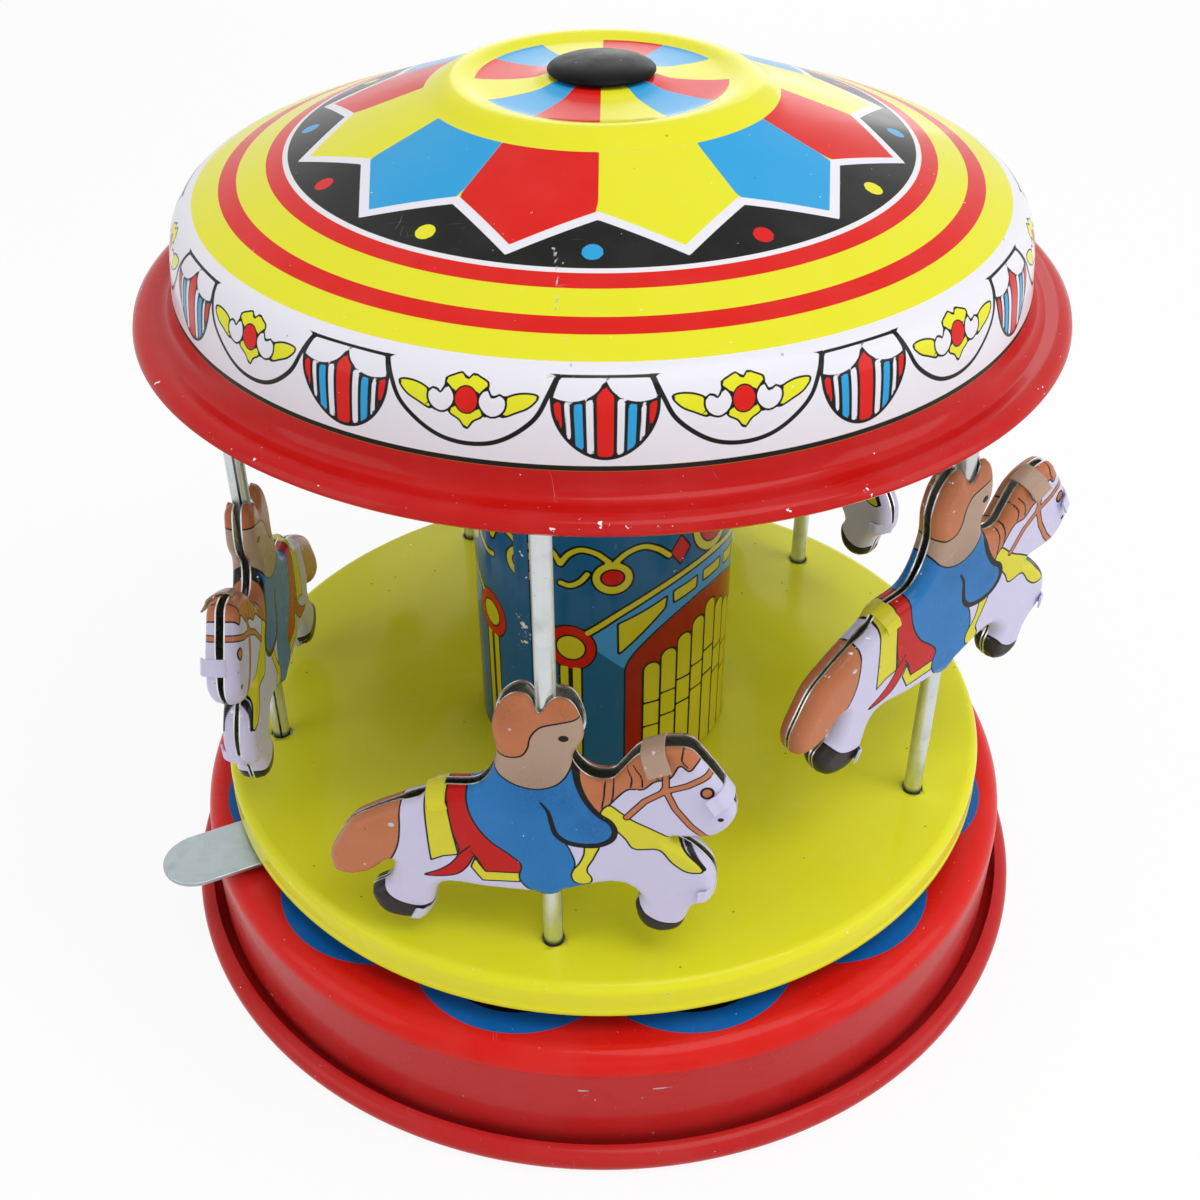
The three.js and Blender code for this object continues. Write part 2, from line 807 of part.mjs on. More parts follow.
// One pole with its sleeve, horse and rider; the horse looks along +X of its own group
function rider(index) {
  const group = new THREE.Group();
  const [x, y] = polar(poleCircleRadius, poleDirection(index));
  group.position.set(x, y, 0);
  group.rotation.z = radians(poleDirection(index));
  const figure = new THREE.Group();
  figure.position.z = platformTopHeight + rideHeights[index];
  figure.rotation.z = radians(90 + swivels[index]);
  figure.add(rightHalf(index), leftHalf(index));
  group.add(pole(index), poleSleeve(index), figure);
  return group;
}

function carousel() {
  const toy = new THREE.Group();
  toy.name = 'tin_toy_carousel';
  toy.add(baseShell(), baseBottomPlate(), spindleBush(), footBearing());
  toy.add(leverStud());
  toy.add(post('lever_stop', stopRadius, stopHeight, stopPoint()));
  toy.add(post('spring_post', springPostRadius, springPostHeight, springPostPoint()));
  toy.add(leverArm(), returnSpring());
  toy.add(drivePinion(), click(), ratchetWheel(), spindle(), platformHub());
  toy.add(platform(), column(), canopy(), ceilingRing(), capNut());
  for (let index = 0; index < horseCount; index += 1) {
    toy.add(rider(index));
  }
  return toy;
}

export default carousel();
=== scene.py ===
"""Looks of a tin toy carousel: lithographed sheet metal, stamped horses, rolled poles and a finger lever.

Sizes in the classes are millimetres unless a name says otherwise, and meshes are written in metres.
The toy stands on z = 0 and its front faces -Y.
"""
import logging
import math
from dataclasses import dataclass, field
from enum import Enum
from typing import Callable, Iterable, Sequence

import bpy
import numpy as np
from mathutils import Matrix, Vector


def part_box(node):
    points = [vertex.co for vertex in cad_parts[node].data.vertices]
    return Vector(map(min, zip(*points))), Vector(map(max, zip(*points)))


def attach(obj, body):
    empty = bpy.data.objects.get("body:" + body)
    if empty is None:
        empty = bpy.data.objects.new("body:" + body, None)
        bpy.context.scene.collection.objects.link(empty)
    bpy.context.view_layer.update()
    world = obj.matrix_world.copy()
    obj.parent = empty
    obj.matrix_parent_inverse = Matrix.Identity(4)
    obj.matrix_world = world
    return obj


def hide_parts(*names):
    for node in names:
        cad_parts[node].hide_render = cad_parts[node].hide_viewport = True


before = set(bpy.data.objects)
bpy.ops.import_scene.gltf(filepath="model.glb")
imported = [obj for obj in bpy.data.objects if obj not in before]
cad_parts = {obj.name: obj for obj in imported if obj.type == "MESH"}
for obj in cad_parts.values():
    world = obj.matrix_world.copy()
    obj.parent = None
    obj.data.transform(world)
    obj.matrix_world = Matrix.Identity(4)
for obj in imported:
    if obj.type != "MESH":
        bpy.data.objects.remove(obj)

Array = np.ndarray
Fields = dict[str, Array]
Pairs = tuple[tuple[float, float], ...]
Socket = bpy.types.NodeSocket
MM = 0.001
FAR = 1000.0
SHARP_DEGREES = 40.0
log = logging.getLogger("carousel")


# ----- colours -----


class Ink(Enum):
    """Inks and lacquers of the toy, as display red, green and blue out of 255."""

    YELLOW = (229, 226, 40)
    LEMON = (216, 208, 50)
    RED = (217, 27, 19)
    DEEP_RED = (191, 20, 16)
    # A darker, duller copy of RED for the base's side wall: painted shade on the wall.
    SHADED_WALL_RED = (190, 34, 34)
    BLUE = (44, 160, 218)
    COLUMN_BLUE = (26, 90, 132)
    RAIL_BLUE = (64, 140, 200)
    COAT_BLUE = (42, 120, 188)
    # Darker copies of the red and yellow for the column: painted shade, since the column stands under the
    # canopy.
    SHADED_COLUMN_RED = (152, 26, 18)
    SHADED_COLUMN_YELLOW = (198, 186, 36)
    LOBE_BLUE = (18, 100, 178)
    BLACK = (20, 18, 17)
    HOOF = (48, 44, 42)
    WHITE = (232, 230, 238)
    HORSE = (206, 202, 230)
    TAN = (192, 118, 80)
    FACE = (178, 150, 130)
    TIN = (176, 178, 176)

    @property
    def linear(self) -> tuple[float, float, float, float]:
        """The colour as linear light with full opacity."""
        share = np.array(self.value) / 255.0
        light = np.where(share <= 0.04045, share / 12.92, ((share + 0.055) / 1.055) ** 2.4)
        return (*light.tolist(), 1.0)


class Slot(Enum):
    """Material slots of the record."""

    RED = "red_paint"
    YELLOW = "yellow_paint"
    CANOPY = "canopy_print"
    COLUMN = "column_print"
    HORSE = "horse_print"
    GALVANISED = "galvanised"
    TIN = "plain_tin"
    STEEL = "steel"
    BRASS = "brass"
    BLACK = "black_plastic"


# ----- lines, distances and grids -----


def column(*values: Array | float) -> Array:
    """Values side by side, as the rows of a table."""
    return np.stack(np.broadcast_arrays(*values), -1)


def arc(centre: Sequence[float], radius: float, start: float, end: float, steps: int) -> Array:
    """Points of an arc: centre + radius (cos a, sin a), with a from start to end in degrees.

    Args:
        centre: The arc's centre.
        radius: Its radius.
        start: First angle in degrees.
        end: Last angle in degrees.
        steps: Number of equal steps between the two.

    Returns:
        Array of steps + 1 points.
    """
    angle = np.radians(np.linspace(start, end, steps + 1))
    return column(centre[0] + radius * np.cos(angle), centre[1] + radius * np.sin(angle))


def unit(vectors: Array) -> Array:
    """Vectors of length one in the same directions."""
    length = np.linalg.norm(vectors, axis=-1, keepdims=True)
    return vectors / np.maximum(length, 1e-9)


def through(points: Sequence, per_edge: int, closed: bool = True) -> Array:
    """A smooth curve through every point.

    Each edge is a cubic whose end slopes weigh the two neighbouring edges by each other's length,
    so the curve leaves a point in one direction on both sides.

    Args:
        points: The points in order.
        per_edge: Points made on each edge.
        closed: Whether the last point joins the first.

    Returns:
        Array of the curve's points.
    """
    knots = np.array(points, float)
    if not closed:
        knots = np.vstack([2 * knots[0] - knots[1], knots, 2 * knots[-1] - knots[-2]])
    ahead = np.roll(knots, -1, 0) - knots
    length = np.linalg.norm(ahead, axis=1)[:, None]
    behind, before = np.roll(ahead, 1, 0), np.roll(length, 1, 0)
    slope = (behind / before * length + ahead / length * before) / (before + length)
    start, end = knots, np.roll(knots, -1, 0)
    out, into = slope * length, np.roll(slope, -1, 0) * length
    t = (np.arange(per_edge) / per_edge)[None, :, None]
    curve = (
        start[:, None] * (2 * t**3 - 3 * t**2 + 1)
        + out[:, None] * (t**3 - 2 * t**2 + t)
        + end[:, None] * (3 * t**2 - 2 * t**3)
        + into[:, None] * (t**3 - t**2)
    )
    if closed:
        return curve.reshape(-1, 2)
    return np.vstack([curve[1:-2].reshape(-1, 2), knots[-2]])


def softened(corners: Sequence, steps: int = 4, share: float = 0.5) -> Array:
    """An open line whose inner corners are rounded.

    Each corner becomes the curve (1-t)^2 A + 2t(1-t) P + t^2 B, where A and B lie the given share
    of the way to its neighbours.

    Args:
        corners: The line's corners.
        steps: Steps across each rounding.
        share: Share of each edge that a rounding takes.

    Returns:
        Array of the rounded line's points.
    """
    corner = np.array(corners, float)
    here = corner[1:-1]
    first = here + (corner[:-2] - here) * share
    last = here + (corner[2:] - here) * share
    t = np.linspace(0, 1, steps + 1)[None, :, None]
    rounded = first[:, None] * (1 - t) ** 2 + 2 * here[:, None] * t * (1 - t) + last[:, None] * t**2
    line = np.vstack([corner[:1], rounded.reshape(-1, 2), corner[-1:]])
    fresh = np.linalg.norm(np.diff(line, axis=0), axis=1) > 1e-6
    return line[np.concatenate([[True], fresh])]


def lengths_along(line: Array) -> Array:
    """Distance along an open line from its start to each of its points."""
    return np.concatenate([[0], np.cumsum(np.linalg.norm(np.diff(line, axis=0), axis=1))])


def at_lengths(line: Array, wanted: Array) -> Array:
    """Points of an open line at the wanted distances from its start."""
    along = lengths_along(line)
    return column(*(np.interp(wanted, along, line[:, axis]) for axis in range(line.shape[1])))


def beside(line: Array, distance: float) -> Array:
    """The line moved sideways, to the right of its direction: p + distance (dy, -dx)."""
    run = unit(np.gradient(line, axis=0))
    return line + distance * column(run[:, 1], -run[:, 0])


def edges_of(corners: Array, closed: bool) -> Iterable[tuple[Array, Array]]:
    """The straight edges of a chain of corners, as pairs of end points."""
    ends = np.roll(corners, -1, 0) if closed else corners[1:]
    return zip(corners, ends)


def line_distance(points: Array, corners: Sequence, closed: bool = False) -> Array:
    """Distance from each point to the nearest edge of a chain: |p - a - h (b - a)| with h cut to 0..1.

    Args:
        points: Points of the plane.
        corners: The chain's corners.
        closed: Whether the last corner joins the first.

    Returns:
        Array of distances.
    """
    nearest = np.full(len(points), np.inf)
    for start, end in edges_of(np.array(corners, float), closed):
        run = end - start
        share = np.clip((points - start) @ run / max(run @ run, 1e-12), 0, 1)
        gap = points - start - share[:, None] * run
        nearest = np.minimum(nearest, np.einsum("ij,ij->i", gap, gap))
    return np.sqrt(nearest)


def area_distance(points: Array, corners: Sequence) -> Array:
    """Signed distance to a closed chain, below zero inside: where a ray crosses it an odd number of times.

    Args:
        points: Points of the plane.
        corners: The closed chain's corners.

    Returns:
        Array of signed distances.
    """
    inside = np.zeros(len(points), bool)
    x, y = points[:, 0], points[:, 1]
    for start, end in edges_of(np.array(corners, float), True):
        if start[1] == end[1]:
            continue
        spans = (start[1] > y) != (end[1] > y)
        crossing = start[0] + (y - start[1]) * (end[0] - start[0]) / (end[1] - start[1])
        inside ^= spans & (x < crossing)
    return np.where(inside, -1.0, 1.0) * line_distance(points, corners, True)


def oval_distance(points: Array, centre: Sequence[float], radii: Sequence[float]) -> Array:
    """Nearly the signed distance to an oval: k (k - 1) / |gradient of k|, where k is 1 on the oval."""
    scaled = (points - np.array(centre)) / np.array(radii)
    size = np.linalg.norm(scaled, axis=1)
    slope = np.linalg.norm(scaled / np.array(radii), axis=1)
    return size * (size - 1) / np.maximum(slope, 1e-6)


def joined(*distances: Array) -> Array:
    """Signed distance to several shapes together: the least of theirs."""
    return np.minimum.reduce(distances)


def common(*distances: Array) -> Array:
    """Signed distance to what several shapes share: the greatest of theirs."""
    return np.maximum.reduce(distances)


def folded(value: Array, period: float, centre: float = 0.0) -> Array:
    """Values brought to within half a period of a centre."""
    return (value - centre + period / 2) % period - period / 2


def grid_faces(rows: int, columns: int, wrap_rows: bool = False) -> Array:
    """Four-sided faces between the rows of a grid of points whose rows are closed rings.

    Args:
        rows: Number of rows of points.
        columns: Number of points in a row.
        wrap_rows: Whether the last row joins the first.

    Returns:
        Array of faces, four point numbers each.
    """
    here = np.arange(rows if wrap_rows else rows - 1)[:, None] * columns
    below = (here + columns) % (rows * columns)
    step = np.arange(columns)[None]
    across = (step + 1) % columns
    return column(here + step, here + across, below + across, below + step).reshape(-1, 4)


def end_fans(rows: int, columns: int) -> list[Array]:
    """Triangles that close a grid of rings on two more points, which follow the grid's own.

    Args:
        rows: Number of rows of points.
        columns: Number of points in a row.

    Returns:
        The faces at the first row and those at the last.
    """
    step = np.arange(columns)
    ahead, end = (step + 1) % columns, (rows - 1) * columns
    first = np.full(columns, rows * columns)
    return [column(first, ahead, step), column(first + 1, end + step, end + ahead)]


# ----- meshes -----


@dataclass
class Surface:
    """A mesh being made: its points in millimetres, its faces and what is known at each point."""

    points: Array
    faces: list[Array]
    fields: Fields = field(default_factory=dict)
    slots: list[int] = field(default_factory=list)
    normals: list[Array] | None = None

    def __post_init__(self) -> None:
        """Gives every group of faces the first material when none is named."""
        if not self.slots:
            self.slots = [0] * len(self.faces)

    def outward(self) -> "Surface":
        """Turns all faces round if the enclosed volume comes out below zero."""
        volume = 0.0
        for faces in self.faces:
            for last in range(2, faces.shape[1]):
                a, b, c = (self.points[faces[:, k]] for k in (0, last - 1, last))
                volume += np.einsum("ij,ij->i", a, np.cross(b, c)).sum()
        if volume < 0:
            self.faces = [faces[:, ::-1] for faces in self.faces]
        return self

    def placed(self, turn_degrees: float, place: Sequence[float]) -> "Surface":
        """A copy turned about Z and then moved.

        Args:
            turn_degrees: Turn about Z in degrees.
            place: Move in millimetres.

        Returns:
            The new surface.
        """
        cos, sin = math.cos(math.radians(turn_degrees)), math.sin(math.radians(turn_degrees))
        turn = np.array([[cos, sin, 0], [-sin, cos, 0], [0, 0, 1]])
        normals = None if self.normals is None else [group @ turn for group in self.normals]
        return Surface(self.points @ turn + np.array(place), self.faces, self.fields, self.slots, normals)

    def bare(self) -> "Surface":
        """This surface with its fields dropped."""
        self.fields = {}
        return self

    def split(self, outer: Array) -> None:
        """Gives the marked faces of the first group the first material and its others the second."""
        faces = self.faces[0]
        self.faces, self.slots = [faces[outer], faces[~outer]], [0, 1]

    def plus(self, other: "Surface") -> "Surface":
        """This surface and another as one mesh, with a field missing from either far away there."""
        shift = len(self.points)
        names = set(self.fields) | set(other.fields)
        fields = {
            name: np.concatenate([
                self.fields.get(name, np.full(shift, FAR)),
                other.fields.get(name, np.full(len(other.points), FAR)),
            ])
            for name in names
        }
        faces = self.faces + [group + shift for group in other.faces]
        return Surface(np.vstack([self.points, other.points]), faces, fields, self.slots + other.slots)

    def write(self, name: str, materials: Sequence[bpy.types.Material]) -> bpy.types.Object:
        """Makes the Blender object.

        Args:
            name: The piece's name.
            materials: Its materials, in the order of the slot numbers.

        Returns:
            The new object, at the origin.
        """
        mesh = bpy.data.meshes.new(name)
        faces = [face for group in self.faces for face in group.tolist()]
        mesh.from_pydata(self.points * MM, [], faces, shade_flat=False)
        for material in materials:
            mesh.materials.append(material)
        slots = np.concatenate([np.full(len(g), s, np.int32) for g, s in zip(self.faces, self.slots)])
        mesh.polygons.foreach_set("material_index", slots)
        for title, values in self.fields.items():
            attribute = mesh.attributes.new(title, "FLOAT", "POINT")
            attribute.data.foreach_set("value", values.astype(np.float32))
        if self.normals is None:
            mesh.set_sharp_from_angle(angle=math.radians(SHARP_DEGREES))
        else:
            corners = [normals[faces].reshape(-1, 3) for normals, faces in zip(self.normals, self.faces)]
            mesh.normals_split_custom_set(unit(np.vstack(corners)).tolist())
        mesh.validate()
        mesh.update()
        piece = bpy.data.objects.new(name, mesh)
        bpy.context.scene.collection.objects.link(piece)
        return piece


def revolved(profile: Array, columns: int) -> Surface:
    """A profile of radius and height carried round Z: (r cos a, r sin a, z) for each angle a.

    A profile that starts and ends on the axis closes in a point there, and any other joins its own start.

    Args:
        profile: Rows of radius and height.
        columns: Steps round the axis.

    Returns:
        The closed surface, with the fields angle (degrees) and row (the profile's point number).
    """
    on_axis = profile[0, 0] == 0
    rings = profile[1:-1] if on_axis else profile
    angle = np.arange(columns) * 2 * np.pi / columns
    radius, height = rings[:, :1], rings[:, 1:]
    points = column(radius * np.cos(angle), radius * np.sin(angle), height + 0 * angle).reshape(-1, 3)
    faces = [grid_faces(len(rings), columns, wrap_rows=not on_axis)]
    turn = np.tile(np.degrees(angle), len(rings))
    row = np.repeat(np.arange(len(rings)), columns) + (1 if on_axis else 0)
    if on_axis:
        faces += end_fans(len(rings), columns)
        points = np.vstack([points, [0, 0, profile[0, 1]], [0, 0, profile[-1, 1]]])
        turn = np.concatenate([turn, [0, 0]])
        row = np.concatenate([row, [0, len(profile) - 1]])
    surface = Surface(points, faces).outward()
    surface.fields = {"angle": turn, "row": row}
    return surface


def rounded_profile(corners: Sequence, size: float) -> Array:
    """A profile whose corners are broken by a small rounding, save those on the axis.

    Args:
        corners: Corners of radius and height, from axis to axis or else round a closed loop.
        size: Distance from a corner at which its rounding starts.

    Returns:
        Array of the profile's points.
    """
    corner = np.array(corners, float)
    loop = corner[0, 0] > 0
    if loop:
        corner = np.vstack([corner[-1:], corner, corner[:1]])
    here = corner[1:-1]
    first = here + unit(corner[:-2] - here) * size
    last = here + unit(corner[2:] - here) * size
    t = np.linspace(0, 1, 4)[None, :, None]
    rounded = first[:, None] * (1 - t) ** 2 + 2 * here[:, None] * t * (1 - t) + last[:, None] * t**2
    rounded = rounded.reshape(-1, 2)
    return rounded if loop else np.vstack([corner[:1], rounded, corner[-1:]])


def swept(outline: Array, path: Array, side: Array) -> Surface:
    """A closed outline carried along a path in space and closed at both ends.

    At each path point the outline's two axes are the given side direction and the cross product of
    the path's direction with it.

    Args:
        outline: Closed outline in the plane across the path.
        path: Points of the path.
        side: One direction across the path for each of its points.

    Returns:
        The closed surface.
    """
    run = unit(np.gradient(path, axis=0))
    across = unit(side - np.einsum("ij,ij->i", side, run)[:, None] * run)
    up = np.cross(run, across)
    rings = path[:, None] + outline[None, :, :1] * across[:, None] + outline[None, :, 1:] * up[:, None]
    points = np.vstack([rings.reshape(-1, 3), path[:1], path[-1:]])
    size = len(path), len(outline)
    return Surface(points, [grid_faces(*size), *end_fans(*size)]).outward()


@dataclass
class FlatGrid:
    """A square grid cut to an outline, with its rim moved onto the outline."""

    points: Array
    slope: Array
    depth: Array
    quads: Array
    rim_edges: Array
    rim: Array


def grid_within(
    distance: Callable[[Array], Array], low: Sequence[float], high: Sequence[float], pitch: float
) -> FlatGrid:
    """Cuts a square grid to where a signed distance is below zero.

    Cells whose corners all lie inside, or less than half a cell outside, are kept. Each corner on
    the rim moves by its distance along the distance's slope, which puts it on the outline.

    Args:
        distance: Signed distance as a function of points.
        low: Lowest corner of the area covered.
        high: Highest corner of the area covered.
        pitch: Size of a cell.

    Returns:
        The cut grid.
    """
    x, y = (np.arange(low[axis] - 2 * pitch, high[axis] + 3 * pitch, pitch) for axis in (0, 1))
    grid = column(x[:, None], y[None, :])
    gap = distance(grid.reshape(-1, 2)).reshape(grid.shape[:2])
    slope = unit(column(*np.gradient(gap, pitch)))
    kept = gap < pitch / 2
    cell = kept[:-1, :-1] & kept[1:, :-1] & kept[1:, 1:] & kept[:-1, 1:]
    around = np.zeros(kept.shape, int)
    for right in (0, 1):
        for above in (0, 1):
            around[right:right + cell.shape[0], above:above + cell.shape[1]] += cell
    used, rim = around > 0, (around > 0) & (around < 4)
    number = np.cumsum(used.ravel()).reshape(used.shape) - 1
    i, j = np.nonzero(cell)
    quads = column(number[i, j], number[i + 1, j], number[i + 1, j + 1], number[i, j + 1])
    wide = np.pad(cell, 1)
    sides = (((0, -1), 0, 1), ((1, 0), 1, 2), ((0, 1), 2, 3), ((-1, 0), 3, 0))
    edges = [
        quads[~wide[i + 1 + shift[0], j + 1 + shift[1]]][:, [first, second]]
        for shift, first, second in sides
    ]
    depth = np.where(rim, 0, -gap)
    points = np.where(rim[..., None], grid - gap[..., None] * slope, grid)
    return FlatGrid(points[used], slope[used], np.maximum(depth[used], 0), quads, np.vstack(edges), rim[used])


def stamped_plate(grid: FlatGrid, bottom: float, thickness: float, rounding: float) -> Surface:
    """A flat plate with rounded edges over a cut grid.

    Its two faces fall by the rounding r at the rim as r - sqrt(r^2 - (r - d)^2), where d is the
    distance from the rim.

    Args:
        grid: The plate's plan.
        bottom: Height of the lower face.
        thickness: Distance between the faces.
        rounding: Radius of the edges.

    Returns:
        The closed surface.
    """
    near = np.clip(rounding - grid.depth, 0, rounding)
    fall = rounding - np.sqrt(np.maximum(rounding**2 - near**2, 0))
    top = column(grid.points[:, 0], grid.points[:, 1], bottom + thickness - fall)
    under = column(grid.points[:, 0], grid.points[:, 1], bottom + fall)
    count = len(top)
    a, b = grid.rim_edges.T
    wall = column(b, a, a + count, b + count)
    lean = np.where(grid.depth < rounding, (rounding - grid.depth) / rounding, 0)[:, None]
    upward = unit(np.hstack([grid.slope * lean, np.sqrt(1 - lean**2)]))
    level = np.hstack([grid.slope, np.zeros((count, 1))])
    both = np.vstack([upward, upward])
    normals = [both, both * [1, 1, -1], np.vstack([level, level])]
    return Surface(
        np.vstack([top, under]),
        [grid.quads, grid.quads[:, ::-1] + count, wall],
        {"edge": np.tile(grid.depth, 2)},
        [0, 0, 0],
        normals,
    )


# ----- finishes -----


class NodeTree:
    """The node tree of a material or a world, written from left to right."""

    def __init__(self, owner: bpy.types.Material | bpy.types.World) -> None:
        """Starts an empty tree.

        Args:
            owner: The new material or world.
        """
        self.owner = owner
        owner.use_nodes = True
        self.tree = owner.node_tree
        self.tree.nodes.clear()
        self.known: dict[str, Socket] = {}

    def add(self, kind: str, inputs: dict | None = None, **settings) -> bpy.types.Node:
        """Adds a node.

        Args:
            kind: Blender's name for the node.
            inputs: Values or sockets by input name or number.
            **settings: Properties of the node.

        Returns:
            The new node.
        """
        node = self.tree.nodes.new(kind)
        for name, value in settings.items():
            setattr(node, name, value)
        for name, value in (inputs or {}).items():
            if isinstance(value, Socket):
                self.tree.links.new(value, node.inputs[name])
            else:
                node.inputs[name].default_value = value
        return node

    def place(self) -> Socket:
        """Object coordinates, in metres."""
        if "place" not in self.known:
            self.known["place"] = self.add("ShaderNodeTexCoord").outputs["Object"]
        return self.known["place"]

    def field(self, name: str) -> Socket:
        """A value that the mesh carries at its points."""
        if name not in self.known:
            self.known[name] = self.add("ShaderNodeAttribute", attribute_name=name).outputs["Fac"]
        return self.known[name]

    def math(self, operation: str, first, second=0.0, cut: bool = False) -> Socket:
        """One step of arithmetic on two values or sockets."""
        node = self.add("ShaderNodeMath", {0: first, 1: second}, operation=operation, use_clamp=cut)
        return node.outputs[0]

    def times(self, first, second, cut: bool = False) -> Socket:
        """The product of two values or sockets."""
        return self.math("MULTIPLY", first, second, cut)

    def ramp(self, value, low: float, high: float, start: float = 0.0, end: float = 1.0) -> Socket:
        """A smooth step from start to end as value goes from low to high.

        Args:
            value: Socket to read.
            low: Value at which the step begins.
            high: Value at which it ends.
            start: Result below low.
            end: Result above high.

        Returns:
            The result's socket.
        """
        numbers = {"Value": value, "From Min": low, "From Max": high, "To Min": start, "To Max": end}
        return self.add("ShaderNodeMapRange", numbers, interpolation_type="SMOOTHSTEP").outputs[0]

    def mixed(self, share, under, over) -> Socket:
        """One colour laid over another by a share."""
        return self.add("ShaderNodeMix", {0: share, 6: under, 7: over}, data_type="RGBA").outputs[2]

    def noise(self, size_mm: float, detail: float = 3.0, stretch: Sequence[float] = (1, 1, 1)) -> Socket:
        """Cloudy noise of a given grain.

        Args:
            size_mm: Width of its largest grains.
            detail: Number of finer layers.
            stretch: Multiplies the grain's frequency along each axis.

        Returns:
            The noise's socket, from 0 to 1.
        """
        spread = self.add("ShaderNodeMapping", {"Vector": self.place(), "Scale": tuple(stretch)}).outputs[0]
        numbers = {"Vector": spread, "Scale": 1 / (size_mm * MM), "Detail": detail}
        return self.add("ShaderNodeTexNoise", numbers).outputs["Fac"]

    def seen_rays(self) -> Socket:
        """A socket that is 1 for rays from the camera, a reflection or glass, and 0 for others."""
        path = self.add("ShaderNodeLightPath").outputs
        rays = self.math("MAXIMUM", path["Is Camera Ray"], path["Is Glossy Ray"])
        return self.math("MAXIMUM", rays, path["Is Transmission Ray"])

    def cells(self, size_mm: float) -> bpy.types.NodeOutputs:
        """The outputs of a pattern of random cells of a given size."""
        numbers = {"Vector": self.place(), "Scale": 1 / (size_mm * MM)}
        return self.add("ShaderNodeTexVoronoi", numbers).outputs

    def bump(self, height, strength: float, distance_mm: float) -> Socket:
        """The surface's direction once it is roughened by a height."""
        numbers = {"Strength": strength, "Distance": distance_mm * MM, "Height": height}
        return self.add("ShaderNodeBump", numbers).outputs[0]

    def dots(self, size_mm: float, share: float) -> Socket:
        """Sparse round specks, one at most in each cell of a given size.

        Args:
            size_mm: Size of a cell.
            share: Speck radius as a share of the cell.

        Returns:
            A socket that is 1 on a speck.
        """
        cells = self.cells(size_mm)
        near = self.ramp(cells["Distance"], share * 0.7, share, 1, 0)
        split = self.add("ShaderNodeSeparateColor", {0: cells["Color"]})
        chosen = self.math("GREATER_THAN", split.outputs[0], 0.62)
        return self.times(near, chosen)

    def finish(self, sockets: dict) -> bpy.types.Material:
        """Closes the tree with one principled surface.

        Args:
            sockets: Values or sockets by the surface's input names.

        Returns:
            The material.
        """
        shader = self.add("ShaderNodeBsdfPrincipled", sockets)
        self.add("ShaderNodeOutputMaterial", {0: shader.outputs[0]})
        return self.owner


@dataclass(frozen=True)
class Layer:
    """An ink laid where a field lies between two values, in millimetres."""

    field: str
    ink: Ink
    high: float = 0.0
    low: float = -FAR

    def share(self, tree: NodeTree, softness: float) -> Socket:
        """How much of the ink shows.

        Args:
            tree: The tree being written.
            softness: Half the width of the ink's edge.

        Returns:
            A socket from 0 to 1.
        """
        value = tree.field(self.field)
        below = tree.ramp(value, self.high - softness, self.high + softness, 1, 0)
        if self.low <= -FAR:
            return below
        above = tree.ramp(value, self.low - softness, self.low + softness)
        return tree.times(below, above)


def outline(name: str, width: float, ink: Ink = Ink.BLACK) -> Layer:
    """A thin drawn line along the edge of a shape."""
    return Layer(name, ink, width / 2, -width / 2)


